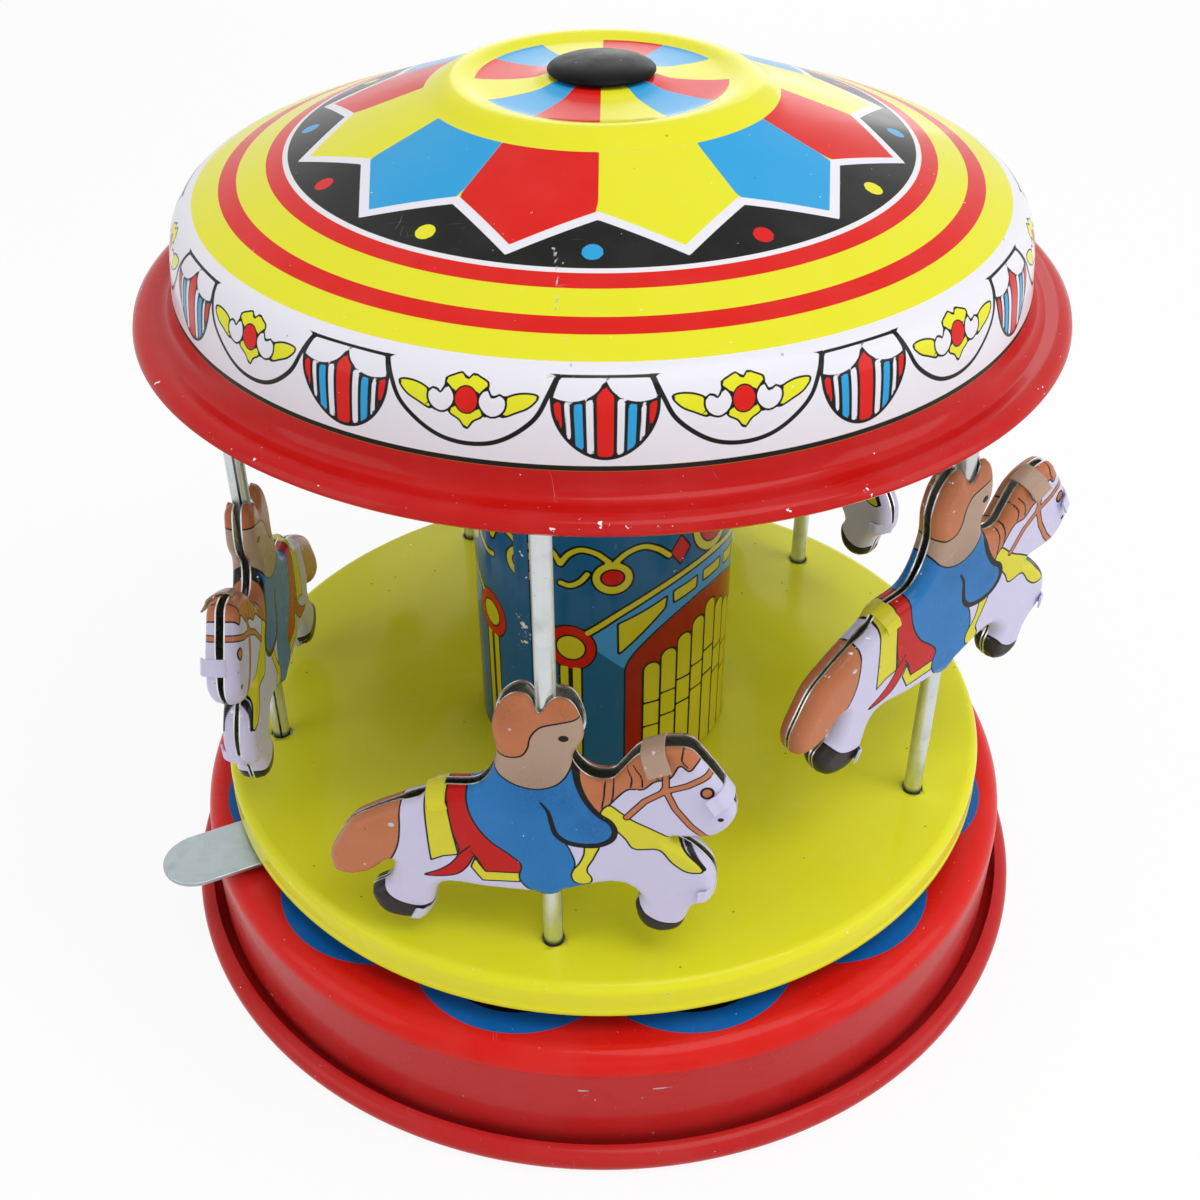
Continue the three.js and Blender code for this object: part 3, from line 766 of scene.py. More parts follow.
@dataclass(frozen=True)
class Lacquer:
    """Glossy lacquer or lithographed print on tin, with specks, hair scratches and chips to the metal."""

    name: str
    ground: Ink
    layers: tuple[Layer, ...] = ()
    gloss_roughness: float = 0.24
    softness: float = 0.05
    chips: float = 0.5
    dirt: float = 0.5
    screen: tuple[str, ...] = ()

    def material(self) -> bpy.types.Material:
        """Writes the finish.

        Returns:
            The material.
        """
        tree = NodeTree(bpy.data.materials.new(self.name))
        colour = self.ground.linear
        for layer in self.layers:
            colour = tree.mixed(layer.share(tree, self.softness), colour, layer.ink.linear)
        colour = self.printed_grain(tree, colour)
        cloud = tree.noise(9, 4)
        fine = tree.noise(0.9, 5)
        scratches = self.scratches(tree)
        worn = self.worn(tree, fine)
        specks, pits = tree.dots(4.5, 0.055), tree.dots(2.6, 0.045)
        for mark, amount, ink in (
            (specks, 0.75 * self.dirt, Ink.HOOF),
            (pits, 0.5 * self.dirt, Ink.WHITE),
            (scratches, 0.14, Ink.WHITE),
        ):
            colour = tree.mixed(tree.times(mark, amount), colour, ink.linear)
        colour = tree.mixed(tree.ramp(cloud, 0.35, 0.75, 0.0, 0.012), colour, Ink.WHITE.linear)
        bare = tree.mixed(tree.ramp(fine, 0.4, 0.7), Ink.TIN.linear, Ink.WHITE.linear)
        colour = tree.mixed(worn, colour, bare)
        rough = tree.ramp(cloud, 0.3, 0.7, self.gloss_roughness - 0.04, self.gloss_roughness + 0.06)
        rough = tree.math("ADD", rough, tree.times(scratches, 0.25), True)
        rough = tree.math("ADD", rough, tree.times(worn, 0.15), True)
        peel = tree.times(tree.noise(1.6, 2), 0.6)
        peel = tree.math("ADD", peel, tree.times(cloud, 1.6))
        height = tree.math("SUBTRACT", peel, tree.times(worn, 0.8))
        height = tree.math("SUBTRACT", height, tree.times(scratches, 0.3))
        return tree.finish({
            "Base Color": colour,
            "Roughness": rough,
            "Metallic": tree.times(worn, 0.7),
            "Normal": tree.bump(height, 0.25, 0.06),
            "Coat Weight": 0.12,
            "Coat Roughness": 0.08,
            "Specular IOR Level": 0.08,
        })

    def printed_grain(self, tree: NodeTree, colour) -> Socket:
        """Darkens the airbrushed places with a fine dot screen.

        Args:
            tree: The tree being written.
            colour: Colour so far.

        Returns:
            The new colour's socket.
        """
        for name in self.screen:
            cells = tree.cells(0.34)
            ripple = tree.times(tree.ramp(cells["Distance"], 0.15, 0.6, 1, 0), 0.45)
            share = tree.times(tree.field(name), tree.math("ADD", ripple, 0.45), True)
            dark = tree.add("ShaderNodeHueSaturation", {"Saturation": 1.12, "Value": 0.52, "Color": colour})
            colour = tree.mixed(share, colour, dark.outputs[0])
        return colour

    @staticmethod
    def scratches(tree: NodeTree) -> Socket:
        """Hair scratches: thin bands of two stretched noises, broken up by a third.

        Args:
            tree: The tree being written.

        Returns:
            A socket that is 1 on a scratch.
        """
        lines = []
        for stretch in ((1, 9, 1), (7, 1.2, 2)):
            band = tree.math("ABSOLUTE", tree.math("SUBTRACT", tree.noise(34, 1, stretch), 0.5))
            lines.append(tree.ramp(band, 0.0008, 0.0022, 1, 0))
        broken = tree.ramp(tree.noise(6, 2), 0.64, 0.74)
        return tree.times(tree.math("MAXIMUM", *lines), broken)

    def worn(self, tree: NodeTree, fine) -> Socket:
        """Chips to the bare tin, thickest at the edges that the edge field gives.

        Args:
            tree: The tree being written.
            fine: Fine noise.

        Returns:
            A socket that is 1 where the lacquer is gone.
        """
        near = tree.ramp(tree.field("edge"), 0.0, 1.4, 0.36 * self.chips, 0.0)
        patchy = tree.times(tree.ramp(tree.noise(7, 2), 0.45, 0.7), near)
        rubbed = tree.ramp(tree.math("ADD", fine, patchy), 0.74, 0.78)
        ragged = tree.math("ADD", tree.field("mark"), tree.times(fine, 0.35))
        marks = tree.ramp(ragged, 0.1, 0.22, 1, 0)
        return tree.math("MAXIMUM", rubbed, marks)


@dataclass(frozen=True)
class Metal:
    """Bare metal: tone, brushed or spangled grain, cloudy patches of tarnish, dark specks and, where asked,
    painted shade at a pole's foot.
    """

    name: str
    colour: tuple[float, float, float]
    roughness: float = 0.34
    grain: tuple[float, float, float] = (1, 1, 1)
    spangle: float = 0.0
    tarnish: float = 0.35
    # When set, the metal turns near black within 1.6 mm of the platform's top: painted shade where a pole
    # goes down into its hole.
    shade_at_pole_foot: bool = False

    def material(self) -> bpy.types.Material:
        """Writes the finish.

        Returns:
            The material.
        """
        tree = NodeTree(bpy.data.materials.new(self.name))
        base = (*self.colour, 1.0)
        dark = (*(value * 0.42 for value in self.colour), 1.0)
        pale = (*(min(value * 1.25, 0.96) for value in self.colour), 1.0)
        grain = tree.noise(1.2, 6, self.grain)
        cloud = tree.noise(5, 4)
        stain = tree.times(tree.ramp(cloud, 0.5, 0.72), self.tarnish)
        colour = tree.mixed(stain, base, dark)
        colour = tree.mixed(tree.ramp(grain, 0.45, 0.8, 0.0, 0.5), colour, pale)
        if self.spangle > 0:
            split = tree.add("ShaderNodeSeparateColor", {0: tree.cells(2.2)["Color"]})
            flakes = tree.times(split.outputs[1], self.spangle)
            colour = tree.mixed(flakes, colour, pale)
        specks = tree.times(tree.dots(1.8, 0.09), 0.5)
        colour = tree.mixed(specks, colour, dark)
        # Painted shade: the pole darkens towards near black close to the platform's top, where it goes into
        # its hole.
        if self.shade_at_pole_foot:
            soot = tree.ramp(tree.field("soot"), 0.0, 1.6, 0.85, 0.0)
            colour = tree.mixed(soot, colour, Ink.HOOF.linear)
        rough = tree.ramp(grain, 0.3, 0.7, self.roughness - 0.08, self.roughness + 0.12)
        rough = tree.math("ADD", rough, tree.times(stain, 0.3), True)
        height = tree.math("ADD", grain, tree.times(cloud, 1.2))
        return tree.finish({
            "Base Color": colour,
            "Roughness": rough,
            "Metallic": 0.9,
            "Normal": tree.bump(height, 0.35, 0.06),
            "Coat Weight": 0.0,
        })


@dataclass(frozen=True)
class Rubber:
    """Moulded black plastic with dust, fine pits and a soft sheen."""

    name: str

    def material(self) -> bpy.types.Material:
        """Writes the finish.

        Returns:
            The material.
        """
        tree = NodeTree(bpy.data.materials.new(self.name))
        dust = tree.dots(1.6, 0.1)
        cloud = tree.noise(3, 4)
        black, worn = (0.004, 0.004, 0.004, 1), (0.03, 0.03, 0.03, 1)
        colour = tree.mixed(tree.ramp(cloud, 0.4, 0.8, 0, 0.12), black, worn)
        colour = tree.mixed(tree.times(dust, 0.35), colour, Ink.TIN.linear)
        rough = tree.ramp(cloud, 0.3, 0.7, 0.28, 0.42)
        height = tree.math("ADD", tree.noise(0.35, 3), tree.times(cloud, 2))
        return tree.finish({
            "Base Color": colour,
            "Roughness": rough,
            "Normal": tree.bump(height, 0.2, 0.05),
            "Specular IOR Level": 0.06,
        })


class Finishes:
    """Every finish of the toy, made once and shared by the pieces."""

    def __init__(self) -> None:
        """Starts with none made."""
        self.made: dict[str, bpy.types.Material] = {}

    def get(self, finish: Lacquer | Metal | Rubber) -> bpy.types.Material:
        """The material of a finish, made on first use."""
        if finish.name not in self.made:
            self.made[finish.name] = finish.material()
        return self.made[finish.name]


# The last value turns on painted shade at the foot of each pole.
GALVANISED = Metal("galvanised_sheet", (0.62, 0.65, 0.66), 0.36, (1, 1, 0.12), 0.35, 0.25, True)
LEVER_SHEET = Metal("lever_sheet", (0.42, 0.48, 0.50), 0.38, (0.25, 1, 1), 0.3, 0.2)
PLAIN_TIN = Metal("plain_tin", (0.56, 0.55, 0.50), 0.32, (1, 1, 1), 0.1, 0.3)
CUT_EDGE = Metal("cut_tin_edge", (0.72, 0.72, 0.70), 0.3, (1, 1, 1), 0.0, 0.45)
STEEL = Metal("bright_steel", (0.50, 0.51, 0.52), 0.3, (1, 1, 0.1), 0.0, 0.3)
SPRING_WIRE = Metal("spring_wire", (0.42, 0.42, 0.43), 0.28, (1, 1, 1), 0.0, 0.2)
BRASS = Metal("brass", (0.70, 0.52, 0.22), 0.3, (1, 1, 0.2), 0.0, 0.35)
CAP_PLASTIC = Rubber("cap_plastic")


def dress(piece: bpy.types.Object, body: str, slot: Slot, *nodes: str) -> bpy.types.Object:
    """Puts a finished piece on its body and in place of the frame's own nodes.

    Args:
        piece: The finished object.
        body: Name of the body that it rides on.
        slot: Its material slot in the record, which is not used here.
        *nodes: Nodes of the frame that it stands for.

    Returns:
        The same object.
    """
    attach(piece, body)
    if nodes:
        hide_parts(*nodes)
    log.info("%s rides on %s, %d faces", piece.name, body, len(piece.data.polygons))
    return piece


def box_of(node: str) -> tuple[Array, Array]:
    """Lowest and highest corner of a node of the frame, in millimetres."""
    low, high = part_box(node)
    return np.array(low) / MM, np.array(high) / MM


# ----- base -----


@dataclass(frozen=True)
class BasePan:
    """The red base: a drawn pan with a rounded shoulder, a curled rim and blue lobes printed on its top."""

    top: float = 24.6
    wall_radius: float = 79.1
    shoulder: float = 4.0
    sheet: float = 0.4
    bead_radius: float = 2.5
    hole_radius: float = 3.9
    lobe_radius: float = 19.4
    lobe_circle: float = 55.7
    lobe_step: float = 30.0
    lobe_border: float = 4.2
    columns: int = 360

    def centreline(self) -> Array:
        """The sheet's middle line, from the centre hole over the shoulder and round the curled rim.

        Returns:
            Array of radius and height.
        """
        half = self.sheet / 2
        wall = self.wall_radius - half
        shoulder = (self.wall_radius - self.shoulder, self.top - self.shoulder)
        bead = (self.wall_radius - self.sheet + self.bead_radius, self.bead_radius)
        spans = (np.linspace(self.hole_radius, 58, 14), np.linspace(59, shoulder[0] - 0.6, 24))
        flat = column(np.concatenate(spans), self.top - half)
        wall_line = column(np.full(14, wall), np.linspace(shoulder[1] - 1, self.bead_radius + 1.6, 14))
        return np.vstack([
            flat,
            arc(shoulder, self.shoulder - half, 90, 0, 12),
            wall_line,
            arc(bead, self.bead_radius - half, 180, 455, 30),
        ])

    def build(self) -> Surface:
        """The pan as a closed sheet, with the lobes and the worn edges as fields.

        A lobe's field is the distance to the centre of the nearest of the evenly spaced lobe
        circles, less the lobe's radius.

        Returns:
            The surface.
        """
        line = self.centreline()
        outer, inner = beside(line, -self.sheet / 2), beside(line, self.sheet / 2)
        surface = revolved(np.vstack([outer, inner[::-1]]), self.columns)
        angle, row = surface.fields["angle"], surface.fields["row"]
        radius = np.hypot(surface.points[:, 0], surface.points[:, 1])
        turn = np.radians(folded(angle, self.lobe_step, -105))
        spot = column(radius * np.cos(turn), radius * np.sin(turn))
        lobes = np.hypot(spot[:, 0] - self.lobe_circle, spot[:, 1]) - self.lobe_radius
        height = surface.points[:, 2]
        outside = row < len(line)
        shoulder_only = radius - (self.wall_radius - self.shoulder + 0.5)
        down = lengths_along(line)
        from_end = down[-1] - np.concatenate([down, down[::-1]])[row]
        worn = np.minimum(np.abs(height - 5) + 0.4, from_end)
        marks = joined(*(
            line_distance(column(radius * np.radians(folded(angle, 360, centre)), height), chip) - width
            for centre, width, chip in (
                (-92.0, 0.25, ((-1.6, 17.2), (-0.3, 16.9), (0.8, 17.4))),
                (-90.3, 0.2, ((-0.2, 16.4), (0.5, 16.8))),
                (-83.0, 0.22, ((-2.3, 17.4), (0.4, 17.1), (2.2, 16.9))),
            )
        ))
        surface.fields = {
            "lobes": np.maximum(lobes, shoulder_only),
            "core": lobes + self.lobe_border,
            # Below the shoulder the base takes a darker red: painted shade on its side wall.
            "wall": height - (self.top - self.shoulder + 0.4),
            "edge": np.where(outside, worn, 0.5 + np.abs(height - 1)),
            "mark": np.where(height > 6, marks, FAR),
        }
        faces = surface.faces[0]
        surface.split(outside[faces].all(1) | (radius[faces] > self.wall_radius + 0.3).all(1))
        return surface

    def dressed(self, finishes: Finishes) -> None:
        """Builds the pan and gives it its print."""
        paint = Lacquer(
            "base_paint",
            Ink.RED,
            # The wall layer lays the darker red below the shoulder as painted shade.
            (Layer("wall", Ink.SHADED_WALL_RED), Layer("lobes", Ink.LOBE_BLUE), Layer("core", Ink.BLACK)),
            gloss_roughness=0.3,
            chips=0.8,
        )
        piece = self.build().write("base_pan", [finishes.get(paint), finishes.get(PLAIN_TIN)])
        dress(piece, "base", Slot.RED, "base_shell")


@dataclass(frozen=True)
class Turned:
    """A small part turned on a lathe, centred on one of the frame's nodes."""

    node: str
    body: str
    slot: Slot
    finish: Metal
    corners: Pairs
    rounding: float = 0.12
    columns: int = 48

    def dressed(self, finishes: Finishes) -> None:
        """Builds the part at its node's place, its heights measured from the node's underside."""
        low, high = box_of(self.node)
        centre = (low + high) / 2
        profile = rounded_profile(self.corners, self.rounding)
        surface = revolved(profile, self.columns).bare().placed(0, (centre[0], centre[1], low[2]))
        piece = surface.write(self.node + "_turned", [finishes.get(self.finish)])
        dress(piece, self.body, self.slot, self.node)


TURNED_PARTS = (
    Turned("spindle_bush", "base", Slot.BRASS, BRASS,
           ((2.1, 0), (3.6, 0), (3.6, 7.3), (5.4, 7.3), (5.4, 7.9), (2.1, 7.9))),
    Turned("foot_bearing", "base", Slot.BRASS, BRASS,
           ((0, 0), (7, 0), (7, 1.2), (3.6, 5), (2.1, 5), (2.1, 1.2), (0, 1.2))),
    Turned("lever_stud", "base", Slot.STEEL, STEEL,
           ((0, 0), (3.6, 0), (3.6, 1), (2, 1), (2, 2.6), (3.6, 2.6), (3.6, 3.2), (0, 3.2))),
    Turned("lever_stop", "base", Slot.STEEL, STEEL, ((0, 0), (1.5, 0), (1.5, 3.1), (0, 3.1)), 0.3),
    Turned("spring_post", "base", Slot.STEEL, STEEL,
           ((0, 0), (1.2, 0), (1.2, 3.9), (0.9, 4.3), (0.9, 4.8), (1.2, 5.2), (1.2, 5.7), (0, 5.7)), 0.15),
    Turned("spindle", "carousel", Slot.STEEL, STEEL, ((0, 0), (2, 0), (2, 156.9), (0, 156.9)), 0.3),
    Turned("platform_hub", "carousel", Slot.TIN, PLAIN_TIN,
           ((2.15, 0), (4.2, 0), (4.2, 3.4), (9, 3.4), (9, 4.2), (2.15, 4.2))),
)


@dataclass(frozen=True)
class BottomPlate:
    """The tin disc that closes the base from below, with a pressed ring to stiffen it."""

    radius: float = 78.4
    thickness: float = 0.6
    ring_radius: float = 52.0
    ring_width: float = 5.0
    ring_depth: float = 0.35

    def dressed(self, finishes: Finishes) -> None:
        """Builds the disc: its height rises by depth (1 + cos) / 2 across the pressed ring."""
        spans = (np.linspace(2, 44, 12), np.linspace(46, 58, 25), np.linspace(60, self.radius, 9))
        radius = np.concatenate([[0], *spans])
        near = np.clip((radius - self.ring_radius) / self.ring_width, -1, 1)
        rise = self.ring_depth * (1 + np.cos(np.pi * near)) / 2
        under = column(radius, rise)
        over = column(radius, self.thickness + rise)[::-1]
        surface = revolved(np.vstack([under, over]), 180).bare()
        piece = surface.write("bottom_plate", [finishes.get(PLAIN_TIN)])
        dress(piece, "base", Slot.TIN, "base_bottom_plate")


# ----- lever and drive -----


@dataclass(frozen=True)
class FingerLever:
    """The galvanised finger lever: a stamping with a rounded tip, a boss, a toothed fan and a spring ear."""

    pivot: tuple[float, float] = (-37.749, -18.412)
    direction: float = -154.0
    width: float = 12.5
    tip: float = 40.85
    boss_radius: float = 7.0
    stud_hole: float = 2.3
    fan_inner: float = 5.0
    fan_side: float = 3.0
    module: float = 1.0
    teeth_in_circle: int = 72
    teeth: int = 10
    teeth_before: int = 2
    tooth_angles: tuple[float, ...] = (-1.45, -0.95, -0.55, 0.55, 0.95, 1.45)
    tooth_heights: tuple[float, ...] = (-1.15, -0.2, 0.8, 0.8, -0.2, -1.15)
    ear_angle: float = 221.5
    ear_distance: float = 26.0
    ear_radius: float = 2.4
    pin_radius: float = 1.0
    pin_waist: float = 0.75
    pin_height: float = 3.2
    bottom: float = 26.2
    thickness: float = 1.0
    rounding: float = 0.3
    pitch: float = 0.3

    def fan(self) -> Array:
        """Outline of the toothed fan about the pivot: root and tip radii at four angles of each tooth.

        Returns:
            Array of the outline's corners.
        """
        step = 360 / self.teeth_in_circle
        pitch_radius = self.module * self.teeth_in_circle / 2
        first = 180 - self.teeth_before * step
        centre = first + step * np.arange(self.teeth)[:, None]
        radius = np.array(self.tooth_heights) + pitch_radius
        angle = np.radians(centre + np.array(self.tooth_angles))
        teeth = column(radius * np.cos(angle), radius * np.sin(angle)).reshape(-1, 2)
        last = first + (self.teeth - 1) * step
        root, side = pitch_radius + self.tooth_heights[0], self.fan_side
        return np.vstack([
            arc((0, 0), self.fan_inner, last + side, first - side, 24),
            arc((0, 0), root, first - side, first - side + 0.1, 1),
            teeth,
            arc((0, 0), root, last + side - 0.1, last + side, 1),
        ])

    def ear(self) -> Array:
        """Centre of the spring ear, about the pivot."""
        angle = math.radians(self.ear_angle)
        return np.array([math.cos(angle), math.sin(angle)]) * self.ear_distance

    def distance(self, points: Array) -> Array:
        """Signed distance to the whole stamping, about the pivot."""
        x, y = points[:, 0], np.abs(points[:, 1])
        half = self.width / 2
        bar = np.maximum(np.maximum(y - half, -x), x - self.tip)
        tip = np.hypot(x - self.tip, y) - half
        boss = np.hypot(x, y) - self.boss_radius
        ear = np.linalg.norm(points - self.ear(), axis=1) - self.ear_radius
        plate = joined(bar, tip, boss, ear, area_distance(points, self.fan()))
        return np.maximum(plate, self.stud_hole - np.hypot(x, y))

    def dressed(self, finishes: Finishes) -> None:
        """Builds the stamping and the pin on its ear."""
        grid = grid_within(self.distance, (-39, -24), (48, 24), self.pitch)
        plate = stamped_plate(grid, self.bottom, self.thickness, self.rounding)
        plate = plate.placed(self.direction, (*self.pivot, 0))
        piece = plate.write("finger_lever_stamping", [finishes.get(LEVER_SHEET)])
        dress(piece, "lever", Slot.GALVANISED, "finger_lever")
        top = self.bottom + self.thickness
        wide, waist, end = self.pin_radius, self.pin_waist, top + self.pin_height
        corners = ((0, top - 0.2), (wide, top - 0.2), (wide, top + 2.2), (waist, top + 2.4),
                   (waist, top + 2.8), (wide, end), (0, end))
        pin = revolved(rounded_profile(corners, 0.1), 32).bare()
        ear = self.ear()
        angle = math.radians(self.direction)
        spot = (
            self.pivot[0] + ear[0] * math.cos(angle) - ear[1] * math.sin(angle),
            self.pivot[1] + ear[0] * math.sin(angle) + ear[1] * math.cos(angle),
            0,
        )
        dress(pin.placed(0, spot).write("lever_ear_pin", [finishes.get(STEEL)]), "lever", Slot.STEEL)


@dataclass(frozen=True)
class ReturnSpring:
    """The lever's return spring: close coils with a hook at each end."""

    start: tuple[float, float] = (-40.73, 10.97)
    direction: float = -22.5
    span: float = 14.0
    coil_radius: float = 1.2
    wire_radius: float = 0.22
    turns: float = 13.0
    height: float = 29.2
    hook_radius: float = 1.45
    hook_length: float = 2.9

    def path(self) -> Array:
        """The wire's middle line: a helix between two hooks that open round the post and the pin.

        Returns:
            Array of points in space, along +X from the post.
        """
        hook = arc((0, 0), self.hook_radius, 60, 330, 24)
        first = column(hook[:, 0], hook[:, 1], np.zeros(len(hook)))
        near, far = self.hook_length, self.span - self.hook_length
        turn = np.linspace(0, self.turns * 2 * np.pi, int(self.turns * 20))
        along = np.linspace(near, far, len(turn))
        coil = column(along, -self.coil_radius * np.cos(turn), self.coil_radius * np.sin(turn))
        last = column(self.span - hook[::-1, 0], -hook[::-1, 1], np.zeros(len(hook)))
        return np.vstack([first, coil, last])

    def dressed(self, finishes: Finishes) -> None:
        """Builds the wire along its path."""
        path = self.path()
        wire = arc((0, 0), self.wire_radius, 0, 360, 8)[:-1]
        side = np.tile([0.3, 0.2, 1.0], (len(path), 1))
        surface = swept(wire, path, side).placed(self.direction, (*self.start, self.height))
        piece = surface.write("return_spring_wire", [finishes.get(SPRING_WIRE)])
        dress(piece, "base", Slot.STEEL, "return_spring")


# ----- platform, ceiling and poles -----


def pole_axes() -> list[Array]:
    """Places of the five poles, as x and y in millimetres."""
    return [sum(box_of(f"pole_{number}"))[:2] / 2 for number in range(1, 6)]


def with_pole_holes(piece: bpy.types.Object, radius: float, bottom: float, top: float) -> bpy.types.Object:
    """Cuts a round hole for each pole through a sheet.

    Args:
        piece: The sheet.
        radius: Radius of a hole.
        bottom: Height at which the cutters start.
        top: Height at which they end.

    Returns:
        The same object, with a new mesh.
    """
    drill = revolved(np.array(((0, bottom), (radius, bottom), (radius, top), (0, top)), float), 48)
    whole, *others = (drill.placed(0, (*spot, 0)) for spot in pole_axes())
    for other in others:
        whole = whole.plus(other)
    tool = whole.bare().write("hole_cutter", [piece.data.materials[-1]])
    cut = piece.modifiers.new("holes", "BOOLEAN")
    cut.object, cut.operation, cut.solver = tool, "DIFFERENCE", "EXACT"
    bpy.context.view_layer.update()
    finished = bpy.data.meshes.new_from_object(piece.evaluated_get(bpy.context.evaluated_depsgraph_get()))
    piece.modifiers.clear()
    piece.data = finished
    bpy.data.objects.remove(tool)
    return piece


@dataclass(frozen=True)
class Platform:
    """The yellow turntable: a shallow pan with a rounded edge, a hemmed skirt and a hole for each pole."""

    top: float = 35.9
    radius: float = 73.3
    skirt: float = 6.8
    corner: float = 1.9
    sheet: float = 0.4
    hole: float = 2.3
    pole_hole: float = 1.9
    hem: Pairs = (
        (0.12, 1), (0.12, 0.3), (-0.05, 0.05), (-0.35, 0.15), (-0.42, 0.6), (-0.42, 1.4),
    )
    columns: int = 360

    def dressed(self, finishes: Finishes) -> None:
        """Builds the pan, cuts its holes and paints it."""
        half = self.sheet / 2
        hem_height = self.top - self.skirt
        corner = (self.radius - self.corner, self.top - self.corner)
        wall = self.radius - half
        line = np.vstack([
            column(np.linspace(self.hole, corner[0] - 0.6, 60), self.top - half),
            arc(corner, self.corner - half, 90, 0, 12),
            column(np.full(6, wall), np.linspace(corner[1] - 0.5, hem_height + 1.3, 6)),
            np.array(self.hem) + (wall, hem_height),
        ])
        outer, inner = beside(line, -half), beside(line, half * 0.9)
        surface = revolved(np.vstack([outer, inner[::-1]]), self.columns)
        x, y, z = surface.points.T
        outside = surface.fields["row"] < len(line)
        level = np.minimum(np.abs(z - self.top + 0.8), np.abs(z - hem_height))
        rim = np.abs(np.hypot(x, y) - self.radius) + level
        azimuth = surface.fields["angle"]
        spot = column(self.radius * np.radians(folded(azimuth, 360, -82.0)), z)
        mark = line_distance(spot, ((-0.2, 33.6), (0.5, 33.9))) - 0.3
        surface.fields = {"edge": np.where(outside, rim, 0.9), "mark": np.where(outside, mark, FAR)}
        surface.split(outside[surface.faces[0]].all(1))
        paint = Lacquer("platform_paint", Ink.YELLOW, gloss_roughness=0.22, chips=0.35, dirt=0.9)
        piece = surface.write("platform_pan", [finishes.get(paint), finishes.get(PLAIN_TIN)])
        with_pole_holes(piece, self.pole_hole, self.top - 2, self.top + 2)
        dress(piece, "carousel", Slot.YELLOW, "platform")


@dataclass(frozen=True)
class CeilingRing:
    """The plain ring under the canopy that holds the poles' upper ends, with two pressed ribs."""

    outer: float = 66.3
    inner: float = 24.0
    bottom: float = 133.6
    sheet: float = 0.4
    ribs: tuple[float, float] = (36, 54)
    rib_depth: float = 0.35
    pole_hole: float = 1.9

    def dressed(self, finishes: Finishes) -> None:
        """Builds the ring: its height rises by depth sin^2 across each rib."""
        spans = (np.linspace(self.inner, 33, 8), np.linspace(34, 56, 60), np.linspace(57, self.outer, 10))
        radius = np.concatenate(spans)
        start, end = self.ribs
        wave = self.rib_depth * np.sin((radius - start) * 2 * np.pi / (end - start)) ** 2
        wave = np.where((radius > start) & (radius < end), wave, 0)
        under = column(radius, self.bottom + wave)
        over = column(radius, self.bottom + self.sheet + wave)[::-1]
        surface = revolved(np.vstack([under, over]), 240).bare()
        piece = surface.write("ceiling_ring_sheet", [finishes.get(PLAIN_TIN)])
        with_pole_holes(piece, self.pole_hole, self.bottom - 2, self.bottom + 2)
        dress(piece, "carousel", Slot.TIN, "ceiling_ring")


@dataclass(frozen=True)
class Poles:
    """Poles rolled from galvanised strip: an open seam whose lips turn in and a collar at each end."""

    radius: float = 1.6
    sheet: float = 0.4
    seam: float = 15.0
    lip: float = 0.35
    collar_bore: float = 1.2
    collar_radius: float = 2.6
    collar: float = 0.5
    platform_top: float = 35.9

    def outline(self) -> Array:
        """The rolled strip's section, its seam toward +X: outer arc, turned lip, inner arc, turned lip.

        Returns:
            Array of a closed outline's points.
        """
        half = self.seam / 2
        outer = arc((0, 0), self.radius, half, 360 - half, 40)
        inner = arc((0, 0), self.radius - self.sheet, 360 - half, half, 40)
        turned = math.radians(half)
        depth = (self.radius - self.sheet - self.lip) * math.cos(turned)
        low = np.array([depth, -self.radius * math.sin(turned)])
        high = low * [1, -1]
        return np.vstack([outer, [low], inner, [high]])

    def tube(self, bottom: float, top: float, seam_toward: float) -> Surface:
        """The strip between two heights.

        Args:
            bottom: Height of the lower end.
            top: Height of the upper end.
            seam_toward: Direction of the seam in degrees.

        Returns:
            The closed surface.
        """
        outline = self.outline()
        height = np.concatenate([np.linspace(bottom, bottom + 5, 8), np.linspace(bottom + 8, top, 24)])
        count = len(outline)
        points = column(outline[:, 0], outline[:, 1], height[:, None]).reshape(-1, 3)
        half = count // 2
        here, ahead = np.arange(half - 1), np.arange(1, half)
        low = column(here, ahead, count - 1 - ahead, count - 1 - here)
        high = low[:, ::-1] + (len(height) - 1) * count
        surface = Surface(points, [grid_faces(len(height), count), low, high]).outward()
        # Distance from the platform's top, which the finish reads to paint shade at the pole's foot.
        surface.fields = {"soot": np.abs(points[:, 2] - self.platform_top)}
        return surface.placed(seam_toward, (0, 0, 0))

    def dressed(self, finishes: Finishes) -> None:
        """Builds the five poles with their seams toward the way each horse rides."""
        for number, spot in enumerate(pole_axes(), 1):
            low, high = box_of(f"pole_{number}")
            outward = math.degrees(math.atan2(spot[1], spot[0]))
            tube = self.tube(low[2], high[2], outward + 90)
            inner, outer, tall = self.collar_bore, self.collar_radius, self.collar
            for level in (low[2], high[2] - tall):
                ring = ((inner, level), (outer, level), (outer, level + tall), (inner, level + tall))
                tube = tube.plus(revolved(rounded_profile(ring, 0.12), 36).bare())
            piece = tube.placed(0, (*spot, 0)).write(f"rolled_pole_{number}", [finishes.get(GALVANISED)])
            dress(piece, "carousel", Slot.GALVANISED, f"pole_{number}")


# ----- column -----


